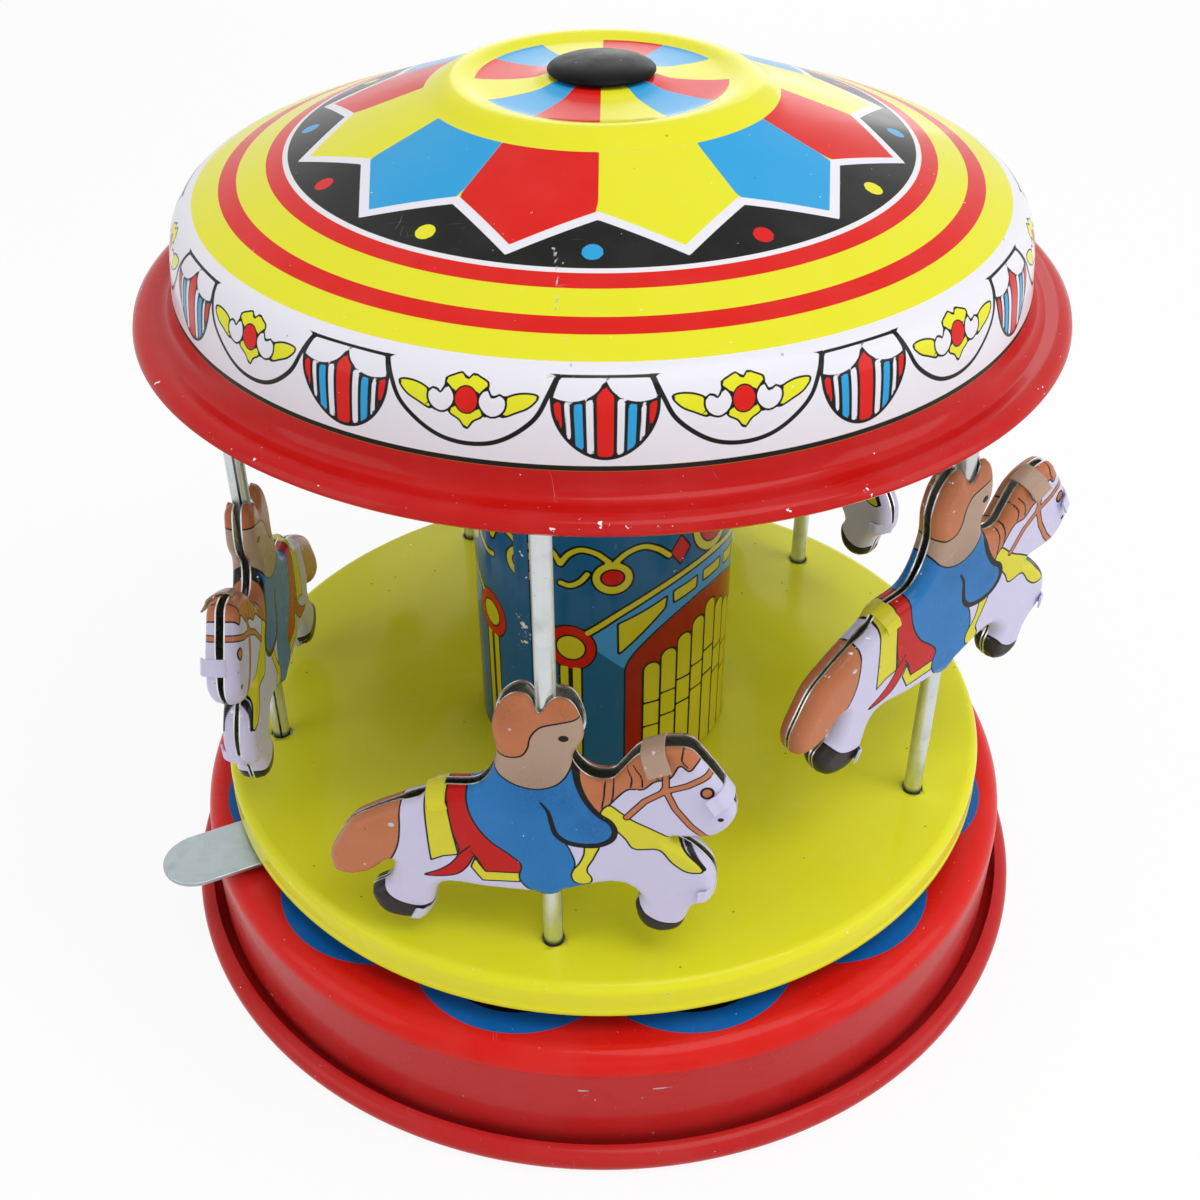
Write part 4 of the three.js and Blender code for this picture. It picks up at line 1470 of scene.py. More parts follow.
@dataclass(frozen=True)
class OrganColumn:
    """The printed middle column: a fairground organ front under a railed arch, drawn twice round it."""

    radius: float = 23.7
    sheet: float = 0.4
    bottom: float = 36.2
    arch_direction: float = -36.0
    columns: int = 480
    fine_step: float = 0.44
    fine_top: float = 91.0
    coarse_step: float = 0.9
    pipe_step: float = 3.37

    def plan(self, points: Array) -> tuple[Array, Array]:
        """Distance round the column from the nearest arch's middle, and height.

        Args:
            points: Points of the column's surface.

        Returns:
            Millimetres to either side, never below zero, and heights.
        """
        angle = np.degrees(np.arctan2(points[:, 1], points[:, 0]))
        return np.abs(np.radians(folded(angle, 180, self.arch_direction)) * self.radius), points[:, 2]

    def shapes(self, side: Array, height: Array) -> Fields:
        """Signed distances of every printed shape, in the plane of side and height.

        Args:
            side: Distance from the nearest arch's middle.
            height: Height above the ground.

        Returns:
            One field for each ink.
        """
        spot = column(side, height)
        arch_corners = ((18.3, 30), (18.3, 58), (18.3, 63), (12.2, 69.2), (5.5, 72.6), (0, 73.4), (-6, 72.6))
        arch_line = softened(arch_corners, 6)
        arch = area_distance(spot, np.vstack([arch_line, [(-6, 30)]]))
        rail_knots = ((25, 69.4), (18.6, 74.2), (10.8, 78.2), (5.2, 79.8), (0, 80.3), (-3, 80.2))
        rail_line = through(rail_knots, 6, False)
        rail = line_distance(spot, rail_line)
        under_rail = area_distance(spot, np.vstack([rail_line, [(-3, 60), (18.3, 61), (25, 67)]]))
        windows = joined(*(
            area_distance(spot, shape)
            for shape in (
                ((19.6, 71.3), (11, 75.3), (11.3, 73.2), (19.5, 65)),
                ((9.4, 76), (4.4, 77), (4.5, 74.9), (9.3, 73.8)),
                ((2.5, 77.3), (-2.5, 77.3), (-2.5, 75.4), (2.5, 75.4)),
            )
        ))
        step = self.pipe_step
        rank = np.clip(np.round(side / step), 0, 4)
        across = np.abs(side - rank * step)
        top = 69.6 - 2.03 * rank
        rise = height - (top - 1.45)
        pipe = np.where(rise > 0, np.hypot(across, rise), across) - 1.46
        upper_bar = np.abs(height - (58.6 - 1.55 * rank)) - 0.24
        lower_bar = np.abs(height - (52.9 - 1.5 * rank)) - 0.24
        pipes = common(pipe, -upper_bar, -lower_bar)
        pipe_ground = common(pipe - 0.45, side - 15.4)
        oval = oval_distance(spot, (28.1, 65.8), (4.4, 4.7))
        oval_heart = oval_distance(spot, (28.1, 65.8), (2.5, 2.5))
        strip = np.abs(np.abs(side - 28.2) - 1.15) - 0.72
        strips = common(strip, height - 61.4)
        pillar = common(np.abs(side - 28.2) - 2.25, height - 61.8)
        drops = joined(*(oval_distance(spot, (place, 81.2), (3.4, 3.2)) for place in (20.7, 37.2)))
        drop_hearts = joined(*(oval_distance(spot, (place, 81.3), (1.85, 1.5)) for place in (20.7, 37.2)))
        medal = oval_distance(spot, (0, 87.4), (5.6, 6.3))
        medal_heart = oval_distance(spot, (0, 87.4), (3.9, 4.5))
        diamond = (np.abs(side - 8.3) / 1.9 + np.abs(height - 84.4) / 2.7 - 1) * 1.55
        scrolls = joined(*(
            line_distance(spot, through(curve, 8, False))
            for curve in (
                ((20.1, 84.6), (18, 86.4), (15.4, 87.1), (13, 86.1), (10.6, 84)),
                ((21.3, 84.6), (23.6, 86.4), (26.2, 86.9), (28.2, 85.7), (29.6, 83.6)),
                ((36.6, 84.6), (34.6, 86.2), (32.6, 86.7), (30.9, 85.6), (29.8, 83.6)),
                ((29.7, 79.6), (28.2, 79.3), (26.2, 80.4), (25, 82)),
                ((37.6, 84.6), (39.4, 86), (41.4, 86.7)),
            )
        ))
        cornice = joined(*(np.abs(height - level) - 0.55 for level in (95.5, 98.0, 149.0)))
        beads_centre = np.abs(folded(side, 5.31, 2.655))
        beads = oval_distance(column(beads_centre, height), (0, 103.2), (1.9, 2.4))
        bead_hearts = oval_distance(column(beads_centre, height), (0, 103.2), (0.95, 1.3))
        pair = np.abs(np.abs(folded(side, 9.3, 4.65)) - 1.2) - 0.6
        tall_strips = common(pair, 110.5 - height, height - 144.5)
        foot = np.abs(height - 36.6) - 0.35
        return {
            "black": joined(
                windows - 0.42, common(arch - 0.4, -arch), pipe_ground, oval - 0.35, pillar, drops - 0.38,
                medal - 0.4, diamond - 0.4, scrolls - 0.86, foot, rail - 0.95, cornice - 0.35,
                beads - 0.35, tall_strips - 0.3,
            ),
            "arch": arch,
            "rail_ground": common(under_rail, -(arch - 0.4)),
            "red": joined(
                common(oval, -(oval_heart - 0.35)), drop_hearts, medal_heart, diamond, bead_hearts,
            ),
            "yellow": joined(
                windows, pipes, oval_heart, strips, common(drops, -(drop_hearts - 0.35)),
                common(medal, -(medal_heart - 0.35)), scrolls - 0.45, rail - 0.5, cornice,
                common(beads, -(bead_hearts - 0.3)), tall_strips,
            ),
        }

    def dressed(self, finishes: Finishes) -> None:
        """Builds the rolled tube up to the frame's own column height and prints it."""
        top = box_of("column")[1][2]
        outside_z = np.concatenate([
            np.arange(self.bottom, self.fine_top, self.fine_step),
            np.linspace(self.fine_top, top, int((top - self.fine_top) / self.coarse_step)),
        ])
        inside_z = np.linspace(top, self.bottom, 12)
        profile = np.vstack([
            column(np.full(len(outside_z), self.radius), outside_z),
            column(np.full(len(inside_z), self.radius - self.sheet), inside_z),
        ])
        surface = revolved(profile, self.columns)
        outside = surface.fields["row"] < len(outside_z)
        fields = self.shapes(*self.plan(surface.points))
        edge = np.minimum(surface.points[:, 2] - self.bottom, top - surface.points[:, 2])
        fields["edge"] = np.where(outside, edge, 1.0)
        fields["mark"] = np.full(len(edge), FAR)
        surface.fields = fields
        surface.split(outside[surface.faces[0]].all(1))
        ink = Lacquer(
            "column_print",
            Ink.COLUMN_BLUE,
            (
                Layer("rail_ground", Ink.RAIL_BLUE),
                # The arch and the yellow parts take the darkened inks: painted shade under the canopy.
                Layer("arch", Ink.SHADED_COLUMN_RED),
                Layer("black", Ink.BLACK),
                Layer("red", Ink.DEEP_RED),
                Layer("yellow", Ink.SHADED_COLUMN_YELLOW),
            ),
            gloss_roughness=0.2,
            chips=0.4,
            dirt=0.3,
        )
        piece = surface.write("organ_column", [finishes.get(ink), finishes.get(PLAIN_TIN)])
        dress(piece, "carousel", Slot.COLUMN, "column")
        self.seam(finishes, top)

    def seam(self, finishes: Finishes, top: float) -> None:
        """The column's folded joint: a narrow raised strip down its back.

        Args:
            finishes: The shared finishes.
            top: Height of the column's upper end.
        """
        corners = ((-1.6, 0.02), (-1.5, 0.3), (1.5, 0.3), (1.6, 0.02), (0, -0.1), (-1.6, 0.02))
        outline = softened(corners, 3, 0.4)[:-1]
        height = np.linspace(self.bottom, top, 40)
        angle = math.radians(self.arch_direction + 270)
        path = column(self.radius * math.cos(angle), self.radius * math.sin(angle), height)
        side = np.tile([-math.sin(angle), math.cos(angle), 0.0], (len(path), 1))
        surface = swept(outline * [1, -1], path, side)
        count = len(surface.points)
        surface.fields = {"edge": np.full(count, 0.5), "mark": np.full(count, FAR)}
        ink = Lacquer("column_seam", Ink.COLUMN_BLUE, gloss_roughness=0.22, chips=0.9)
        dress(surface.write("column_seam", [finishes.get(ink)]), "carousel", Slot.COLUMN)


# ----- canopy -----


@dataclass(frozen=True)
class Canopy:
    """The printed canopy: raised centre, star of panels, rings, band of shields and swags, rolled red lip.

    Places down the canopy are distances along its outer face, and its slope starts at slope_start.
    """

    sheet: float = 0.4
    columns: int = 816
    sector: float = 30.0
    star_turn: float = -0.8
    dot_turn: float = -1.6
    dot_place: float = 44.1
    dot_circle: float = 45.0
    dot_radius: float = 1.45
    band_turn: float = 0.3
    hub_radius: float = 19.2
    star_start: float = 24.9
    notch_radius: float = 37.9
    tip_radius: float = 44.65
    star_rim: float = 1.4
    slope_radius: float = 28.5
    slope_start: float = 26.5
    band_start: float = 63.1
    band_radius: float = 67.5
    inner_rows: tuple[int, ...] = (96, 94, 92, 90, 88, 84, 80, 70, 60, 50, 36, 28, 24, 20, 16, 12, 8, 4, 0)
    outline_points: Pairs = (
        (2.6, 158.2), (8.4, 158.2), (10.2, 157.2), (18.9, 157), (20.5, 157.75), (22.1, 158.1), (23.6, 157.85),
        (24.9, 157.15), (26.4, 156.1), (28.5, 155.3), (32, 154.03), (60, 143.85), (62.9, 142.8),
        (64.8, 141.8), (66.2, 140), (67.1, 137.2), (67.8, 130.3), (68.5, 127.5), (69.4, 126.6), (70.3, 126.3),
        (71.2, 126.75), (73.2, 126.7), (74.3, 126.1), (74.8, 125.1), (74.3, 124.3), (73.3, 124.1),
        (72.4, 124.4), (72, 125.2), (72.4, 125.8),
    )

    def line(self) -> tuple[Array, Array]:
        """The outer face from the centre hole to the end of the rolled lip, sampled finely at its print.

        Returns:
            Array of radius and height, and the distance down the canopy of each of its points.
        """
        smooth = softened(self.outline_points, 8)
        lengths = lengths_along(smooth)
        shift = np.interp(self.slope_radius, smooth[:, 0], lengths) - self.slope_start
        wanted = np.concatenate([
            np.linspace(-shift, 28, 30)[:-1],
            np.linspace(28, 41, 7)[:-1],
            np.linspace(41, 47.1, 8)[:-1],
            np.linspace(47.1, 62, 7)[:-1],
            np.linspace(62, 76.4, 35)[:-1],
            [76.4, 76.85, 77.2, 77.55, 78.0],
            np.linspace(78.6, lengths[-1] - shift, 14),
        ])
        return at_lengths(smooth, wanted + shift), wanted

    def shield(self, spot: Array) -> Fields:
        """Signed distances of one shield's parts about its middle line.

        Args:
            spot: Distance from the middle line, never below zero, and distance down the canopy.

        Returns:
            Fields black, white, red and blue.
        """
        across = spot[:, 0]
        knots = ((7, 67.9), (6.7, 70.2), (5.6, 72.6), (3.8, 74.6), (1.9, 75.7), (0, 76.05), (-1.9, 75.7))
        bowl = through(knots, 6, False)
        whole = area_distance(spot, np.vstack([[(-3, 65), (6, 65)], bowl, [(-3, 75.2)]]))
        knots = ((7.1, 67.7), (5.6, 68.2), (3.9, 68.35), (2.2, 67.9), (0.9, 67), (0.05, 65.6))
        scallop = through(knots, 6, False)
        panel = area_distance(spot, np.vstack([scallop, [(0.1, 65.4), (5.75, 65.45), (6.9, 67.6)]]))
        below = common(whole + 0.45, -(area_distance(spot, np.vstack([scallop, [(-4, 60), (9, 60)]])) - 0.35))
        squeeze = across * (1 + 0.012 * (spot[:, 1] - 68))
        red = joined(squeeze - 1.08, 5.62 - squeeze)
        white = joined(np.abs(squeeze - 2.0) - 0.46, np.abs(squeeze - 4.86) - 0.32)
        blue = np.abs(squeeze - 3.46) - 0.54
        return {
            "black": whole,
            "white": joined(common(panel, whole + 0.4), common(white, below)),
            "red": common(red, below),
            "blue": common(blue, below),
        }

    def flower(self, spot: Array) -> Fields:
        """Signed distances of one flower's parts about its middle line, with the swag line below it.

        Args:
            spot: Distance from the middle line, never below zero, and distance down the canopy.

        Returns:
            Fields black, white, red, yellow and swag.
        """
        crown = (
            (-0.7, 65.9), (0, 66.5), (0.8, 65.75), (1.7, 66.1), (2.9, 66.9), (2.5, 67.6), (1.6, 68.7),
            (1.2, 70.2), (0, 71), (-1.2, 70),
        )
        foot = (
            (0, 72.9), (0.9, 71.8), (2.2, 70.9), (1.7, 69.8), (0, 69), (-1.7, 69.8), (-2.2, 70.9),
            (-0.9, 71.8),
        )
        petal = (
            (1.55, 69), (1.9, 68.1), (2.7, 67.45), (3.45, 68.55), (4.3, 68.05), (5.1, 68.6), (5.15, 69.6),
            (4.5, 70.6), (3.2, 71.05), (2.2, 70.5),
        )
        leaf = ((4.9, 68.7), (6.5, 67.8), (9.3, 68), (8.2, 69.3), (6.6, 70.1), (4.6, 70.75), (4.9, 69.8))
        heart = oval_distance(spot, (0, 69.1), (1.45, 1.65))
        crown_area, foot_area, petal_area, leaf_area = (
            area_distance(spot, through(knots, 6)) for knots in (crown, foot, petal, leaf)
        )
        swag = ((-5.6, 73.6), (0, 74.9), (3.6, 74.35), (6.9, 72.5), (9.1, 70.4), (10.4, 67.9), (11.7, 65))
        swag_line = through(swag, 8, False)
        inside = area_distance(spot, np.vstack([swag_line, [(-5.6, 60)]]))
        leaf_only = common(leaf_area + 0.12, -(petal_area - 0.15))
        yellow = common(joined(crown_area, foot_area) + 0.12, -(heart - 0.2), -(petal_area - 0.15))
        return {
            "black": joined(crown_area, foot_area, petal_area, leaf_area, heart) - 0.14,
            "white": common(petal_area + 0.14, -(heart - 0.15)),
            "red": heart,
            "yellow": joined(yellow, leaf_only),
            "swag": np.where(spot[:, 1] > 64.9, inside, FAR),
        }

    def fields(self, points: Array, along: Array) -> Fields:
        """Every printed shape as a signed distance.

        Args:
            points: Points of the outer face.
            along: Distance down the canopy of each of them.

        Returns:
            One field for each ink, and the distance down.
        """
        radius = np.hypot(points[:, 0], points[:, 1])
        angle = np.degrees(np.arctan2(points[:, 1], points[:, 0]))
        half = math.radians(self.sector / 2)
        from_notch = np.abs(np.radians(folded(angle - self.star_turn, self.sector, -90)))
        flat = column(radius * np.cos(from_notch), radius * np.sin(from_notch))
        notch = np.array([self.notch_radius, 0.0])
        tip = np.array([self.tip_radius * math.cos(half), self.tip_radius * math.sin(half)])
        run = unit(tip - notch)
        star = (flat - notch) @ np.array([run[1], -run[0]])
        petals = common(star, self.star_start - along)
        hub = radius - self.hub_radius
        panels = joined(petals, hub)
        red_sector, blue_sector = (
            (np.abs(np.radians(folded(angle - self.star_turn, 90, middle))) - half) * radius
            for middle in (-105, -45)
        )
        dots = {}
        for ink, middle in (("blue", -90), ("red", -60), ("yellow", -30)):
            from_dot = np.radians(folded(angle - self.dot_turn, 90, middle)) * self.dot_circle
            dots[ink] = np.hypot(along - self.dot_place, from_dot) - self.dot_radius
        band_angle = angle - self.band_turn
        from_shield, from_flower = (
            np.abs(np.radians(folded(band_angle, self.sector, middle))) * self.band_radius
            for middle in (-90, -75)
        )
        shield, flower = self.shield(column(from_shield, along)), self.flower(column(from_flower, along))
        mark_lines = (
            (-98.6, 0.12, (
                (0, 43.2), (1.4, 47.5), (2.2, 52), (1.3, 53), (3.4, 56.5), (4.6, 60.4), (6.2, 65.6),
            )),
            (-98.4, 0.1, ((0.3, 43.6), (0.9, 45), (2.4, 47))),
            (-95.3, 0.22, ((-1.7, 65.1), (-1.2, 65.4), (0.2, 65.2))),
            (-107.0, 0.06, ((-1, 41.5), (0.4, 42.5), (2.6, 43.2))),
        )
        marks = joined(*(
            line_distance(column(np.radians(folded(angle, 360, centre)) * radius, along), chip) - width
            for centre, width, chip in mark_lines
        ))
        return {
            "along": along,
            "rim": common(star - self.star_rim, self.star_start - along),
            "petals": petals,
            "red": joined(common(red_sector, panels), shield["red"], flower["red"], dots["red"]),
            "blue": joined(common(blue_sector, panels), shield["blue"], dots["blue"]),
            "yellow": joined(flower["yellow"], dots["yellow"]),
            "white": joined(shield["white"], flower["white"]),
            "black": joined(shield["black"], flower["black"]),
            "swag": flower["swag"],
            "mark": marks,
            "edge": np.minimum(np.abs(along - 86.5), 3.0),
        }

    def ink(self) -> Lacquer:
        """The whole print, in the order in which the inks lie over each other."""
        along = "along"
        return Lacquer(
            "canopy_print",
            Ink.YELLOW,
            (
                Layer(along, Ink.BLACK, 47.1, self.star_start),
                Layer(along, Ink.WHITE, 47.95, 47.1),
                Layer(along, Ink.WHITE, 76.85, self.band_start),
                Layer("rim", Ink.WHITE),
                Layer("petals", Ink.YELLOW),
                Layer(along, Ink.RED, 50.7, 47.95),
                Layer(along, Ink.RED, 58.6, 55.6),
                outline("swag", 0.62),
                Layer("black", Ink.BLACK),
                Layer("red", Ink.RED),
                Layer("blue", Ink.BLUE),
                Layer("yellow", Ink.YELLOW),
                Layer("white", Ink.WHITE),
                Layer(along, Ink.BLACK, 77.55, 76.85),
                Layer(along, Ink.DEEP_RED, FAR, 77.55),
            ),
            gloss_roughness=0.2,
            chips=0.55,
            dirt=0.6,
        )

    def dressed(self, finishes: Finishes) -> None:
        """Builds the canopy as a closed sheet and prints it."""
        line, down = self.line()
        inner = beside(line, self.sheet)[[len(line) - 1, *self.inner_rows]]
        surface = revolved(np.vstack([line, inner]), self.columns)
        row = surface.fields["row"]
        outside = row < len(line)
        along = down[np.minimum(row, len(line) - 1)]
        fields = self.fields(surface.points[outside], along[outside])
        surface.fields = {
            name: np.concatenate([values, np.full((~outside).sum(), FAR)]) for name, values in fields.items()
        }
        surface.split(outside[surface.faces[0]].all(1))
        piece = surface.write("printed_canopy", [finishes.get(self.ink()), finishes.get(PLAIN_TIN)])
        dress(piece, "carousel", Slot.CANOPY, "canopy")


@dataclass(frozen=True)
class Cap:
    """The black cap on the spindle's end: a low dome with a thin rolled edge."""

    radius: float = 8.25
    height: float = 2.0
    edge: float = 0.25
    bore: float = 2.15
    well: float = 1.1
    seat: float = 158.5

    def dressed(self, finishes: Finishes) -> None:
        """Builds the dome: height h sqrt(1 - (r / R)^2), easing into a thin edge."""
        radius = self.radius * np.sin(np.linspace(np.pi / 2, 0, 28))
        share = np.sqrt(np.maximum(1 - (radius / self.radius) ** 2, 0))
        dome = column(radius, self.edge + (self.height - self.edge) * share)
        dome[-1] = (0, self.height)
        under = ((0, self.well), (self.bore, self.well), (self.bore, 0.0), (self.radius - 0.35, 0.0),
                 (self.radius - 0.1, 0.08))
        surface = revolved(np.vstack([under, dome]), 96).bare().placed(0, (0, 0, self.seat))
        piece = surface.write("spindle_cap", [finishes.get(CAP_PLASTIC)])
        dress(piece, "carousel", Slot.BLACK, "cap_nut")


# ----- horses and riders -----

FIGURE_OUTLINE = (
    (-31.8, 20.5), (-33.9, 17.2), (-35.9, 12.1), (-35.3, 9.8), (-33, 9.1), (-30, 9.8), (-25.5, 13.3),
    (-26.6, 8.2), (-29.7, 5.4), (-29.4, 3.3), (-27.9, 1), (-25, 0), (-22.5, 0.2), (-20.7, 1.4), (-17.2, 9.2),
    (-10.3, 9.2), (-0.8, 9.3), (13.3, 12.2), (14.5, 10.3), (13.6, 7.8), (15.3, 3.5), (17.7, 2.7), (20.5, 3.6),
    (23.1, 9.5), (25.6, 11.9), (26, 17.3), (22.2, 22.3), (19.1, 24.2), (22.2, 24.7), (25.3, 25.3),
    (27.4, 27.1), (28.7, 31), (27.8, 33.2), (23.2, 40.4), (21.6, 42.3), (17.6, 42.3), (14, 40.6),
    (11.2, 36.8), (9.9, 35.1), (7, 34.9), (4, 38.4), (5.7, 43.3), (5.4, 46.2), (3.2, 50), (1.2, 50),
    (-0.7, 47.4), (-2.8, 50.3), (-4.1, 50.4), (-6.4, 48.6), (-7.9, 44.3), (-7.5, 38.5), (-10.5, 31.5),
    (-18.5, 29.2), (-19.3, 28.1), (-23.3, 25.9), (-28.1, 23.2),
)


@dataclass(frozen=True)
class HorsePrint:
    """The print of one side: horse, saddle cloth and a plain doll-like rider, as areas and drawn strokes."""

    areas: tuple[tuple[str, Ink, Pairs], ...] = (
        ("tail", Ink.TAN, (
            (-23.2, 34), (-23.2, 26.2), (-23.3, 22), (-23.8, 18.6), (-25.2, 14.9), (-27, 12), (-36, 5),
            (-42, 16), (-34, 30),
        )),
        ("cloth", Ink.DEEP_RED, (
            (-15.6, 34), (-12.3, 34), (-12.4, 30.1), (-12, 27), (-10.9, 24), (-8.8, 20.9), (-5.8, 18.3),
            (-4.3, 16.6), (-4.5, 14.5), (-10, 14.1), (-10.9, 15.7), (-11.6, 17.4), (-12.6, 15.4),
            (-14.6, 12.9), (-17.6, 11.9), (-20, 12), (-17.6, 13.4), (-15.4, 15.4), (-14.2, 17.4),
            (-14.9, 22.5), (-15.5, 28.4),
        )),
        ("strap", Ink.LEMON, (
            (-19.2, 34), (-15.6, 34), (-15.5, 28.4), (-14.9, 22.5), (-14.2, 17.4), (-16.6, 16.8),
            (-18.7, 15.6), (-18.9, 20), (-19.1, 28),
        )),
        ("trim", Ink.LEMON, (
            (-12.3, 14.9), (-11.5, 17.2), (-10.9, 15.7), (-10, 14.1), (-4.5, 14.5), (-4.5, 12.4),
            (-10.6, 11.9),
        )),
        ("coat", Ink.COAT_BLUE, (
            (-12.4, 34), (-12.4, 30.1), (-12, 27), (-10.9, 24), (-8.8, 20.9), (-5.8, 18.3), (-4.3, 16.6),
            (-4.6, 13.2), (-3.4, 11), (-1.2, 9.7), (2, 9.2), (4.6, 9.9), (6.5, 11.4), (6.7, 12.8),
            (4.4, 13.4), (3.9, 15.2), (4.3, 17.8), (3.6, 20.6), (2.9, 22.6), (5.4, 22.1), (8.3, 22.6),
            (10.2, 24.3), (10.5, 26), (9.8, 27.5), (8.1, 28.8), (6.3, 31.2), (5.1, 34), (4.3, 38),
            (3.6, 39.5), (-9, 41),
        )),
        ("mane", Ink.TAN, (
            (4.3, 38.2), (5.1, 34), (6.3, 31.2), (7.9, 28.9), (9.6, 31), (10.9, 32.8), (12.6, 34.6),
            (14.6, 34.9), (16.4, 36.7), (18.6, 37.6), (20.2, 40.1), (21.4, 39.2), (22.6, 40.6), (25, 41.8),
            (22, 47), (8, 47), (5.4, 40),
        )),
        ("face", Ink.FACE, (
            (-10, 40.2), (-8.4, 37.2), (-6.8, 35), (-4.4, 33.5), (-1, 33.1), (1.9, 34.4), (3.9, 37.6),
            (4.6, 40.4), (9, 44), (6, 53), (-10, 53),
        )),
        ("hair", Ink.TAN, (
            (-10, 40.4), (-7.4, 39.4), (-5.2, 38.9), (-3.4, 39.5), (-2.5, 41), (-2, 43.2), (-0.8, 44.9),
            (1.4, 45.9), (4.9, 46.9), (9, 47.6), (6, 54), (-12, 54),
        )),
        ("breast", Ink.LEMON, (
            (8.3, 29.1), (9.6, 31), (11.5, 29.7), (13.2, 28.4), (16, 26.9), (18.8, 25), (21.5, 21.8),
            (24.1, 18.2), (22, 18.1), (19.6, 19.7), (17.3, 22.4), (13.2, 22.5), (12.2, 24.2), (10.6, 26.2),
            (9.8, 27.6),
        )),
        ("girth", Ink.LEMON, (
            (6.1, 22.2), (8, 22.5), (7.3, 19.6), (6.2, 16.2), (6.9, 14.7), (6.7, 13.5), (5.4, 13),
            (4.1, 13.6), (3.7, 14.9), (4, 16.3), (4.9, 17.8), (5.7, 20),
        )),
        ("hind_hoof", Ink.HOOF, (
            (-32, 8.9), (-29.3, 8.2), (-27.9, 7.6), (-26.7, 6.4), (-25.2, 5.2), (-23.5, 4.6), (-21.6, 4.2),
            (-20, 4.3), (-17, 2), (-24, -3), (-33, 0),
        )),
        ("fore_hoof", Ink.HOOF, (
            (12.5, 9.4), (14.3, 8.8), (15.5, 7.5), (17.3, 6.4), (19.1, 6), (20.8, 6.1), (23, 6.8), (22, 0),
            (13, 0),
        )),
    )
    cornered: tuple[str, ...] = ("strap", "trim")
    dots: tuple[tuple[float, float, float, float], ...] = ((2.9, 43.4, 0.78, 0.62), (26.4, 30.0, 0.5, 0.42))
    sleeve: Pairs = (
        (-0.8, 30.4), (0.3, 28.6), (0.8, 26.2), (1.5, 23.8), (2.9, 22.5), (5.4, 22), (8.3, 22.5),
        (10.2, 24.2), (10.5, 26), (9.8, 27.5), (8.1, 28.8), (6.3, 31.2), (5.1, 34), (4.3, 37.6),
    )
    strands: tuple[Pairs, ...] = (
        ((8.9, 34.6), (8.8, 32.2), (8.5, 30.2)), ((10.2, 35.2), (10.2, 33.2), (10, 31.6)),
        ((12, 38.3), (13, 36.6), (12.8, 35)), ((13.2, 38.9), (14.4, 37.2), (14.6, 35.4)),
        ((15.2, 39.4), (16, 38), (17, 37.2)), ((20.4, 42.6), (20.3, 41), (21.2, 39.8)),
        ((-14.2, 17.4), (-13, 18.7), (-12.2, 19.6)), ((-12.2, 18.4), (-11.4, 17.3), (-10.4, 15)),
    )
    bridle: tuple[Pairs, ...] = (
        ((18, 38.2), (18.1, 35.1)), ((18.1, 35.1), (21.2, 36.4), (24.6, 38.6)),
        ((18.1, 35.1), (15, 32.6), (12.3, 28.9)), ((18.1, 35.1), (19.6, 31.6), (22, 28.2), (24.8, 25.4)),
    )

    def fields(self, spot: Array) -> Fields:
        """Signed distances of all the printed parts.

        Args:
            spot: Distance forward of the pole and height above the lowest hoof.

        Returns:
            One field for each area or kind of stroke, and the airbrushed tone.
        """
        made: Fields = {}
        for name, _, corners in self.areas:
            shape = corners if name in self.cornered else through(corners, 5)
            made[name] = area_distance(spot, shape)
        made["eyes"] = joined(*(oval_distance(spot, dot[:2], dot[2:]) for dot in self.dots))
        made["horse_eye"] = oval_distance(spot, (24.2, 35.2), (0.8, 0.88))
        made["bridle"] = joined(*(line_distance(spot, band) for band in self.bridle),
                                oval_distance(spot, (18.1, 35.1), (0.75, 0.75)) + 0.42)
        taper = np.interp(spot[:, 1], [22, 27, 30.4], [0.0, 0.1, 0.3]) * (spot[:, 0] < 2)
        made["sleeve"] = line_distance(spot, through(self.sleeve, 5, False)) + taper
        made["strands"] = joined(*(line_distance(spot, through(strand, 4, False)) for strand in self.strands))
        made["chest_slot"] = line_distance(spot, ((19.4, 25.2), (21.6, 22.6), (24.4, 18.6)))
        made["tone"] = self.tone(spot, made)
        return made

    @staticmethod
    def tone(spot: Array, made: Fields) -> Array:
        """Airbrushed shading: soft round patches, each exp(-(d / size)^2), kept to the areas that have them.

        Args:
            spot: Places on the figure.
            made: The areas' fields.

        Returns:
            Tone from 0 to 1.
        """
        patches = (
            ("hair", (-5.4, 47), 3.4, 0.55), ("hair", (3.6, 48.2), 3.0, 0.5),
            ("mane", (13.5, 41.5), 5.0, 0.35), ("mane", (8.6, 33), 2.2, 0.3),
            ("coat", (-1.4, 32), 6.0, 0.78), ("coat", (7.4, 26.4), 4.2, 0.8),
            ("coat", (3, 31), 4.0, 0.7), ("coat", (-1.6, 21), 7.5, 0.34),
            ("coat", (-0.6, 12), 4.5, 0.35), ("tail", (-27, 23.5), 3.5, 0.2),
            ("face", (-3, 35.6), 2.6, 0.25),
        )
        tone = np.zeros(len(spot))
        for area, centre, size, amount in patches:
            near = np.exp(-(np.linalg.norm(spot - np.array(centre), axis=1) / size) ** 2)
            tone = np.maximum(tone, np.where(made[area] < 0, amount * near, 0))
        return tone

    def ink(self) -> Lacquer:
        """The print's layers, areas first, each with its drawn outline, then the strokes."""
        layers: list[Layer] = []
        for name, colour, _ in self.areas:
            layers += [Layer(name, colour), outline(name, 0.3)]
        layers += [
            Layer("bridle", Ink.BLACK, 0.62), Layer("bridle", Ink.TAN, 0.4),
            Layer("strands", Ink.BLACK, 0.16), Layer("sleeve", Ink.BLACK, 0.5),
            Layer("horse_eye", Ink.BLACK, 0.3), Layer("horse_eye", Ink.TAN, -0.1),
            Layer("eyes", Ink.BLACK), Layer("chest_slot", Ink.BLACK, 0.3),
        ]
        return Lacquer("horse_print", Ink.HORSE, tuple(layers), 0.24, 0.06, 0.55, 0.7, ("tone",))


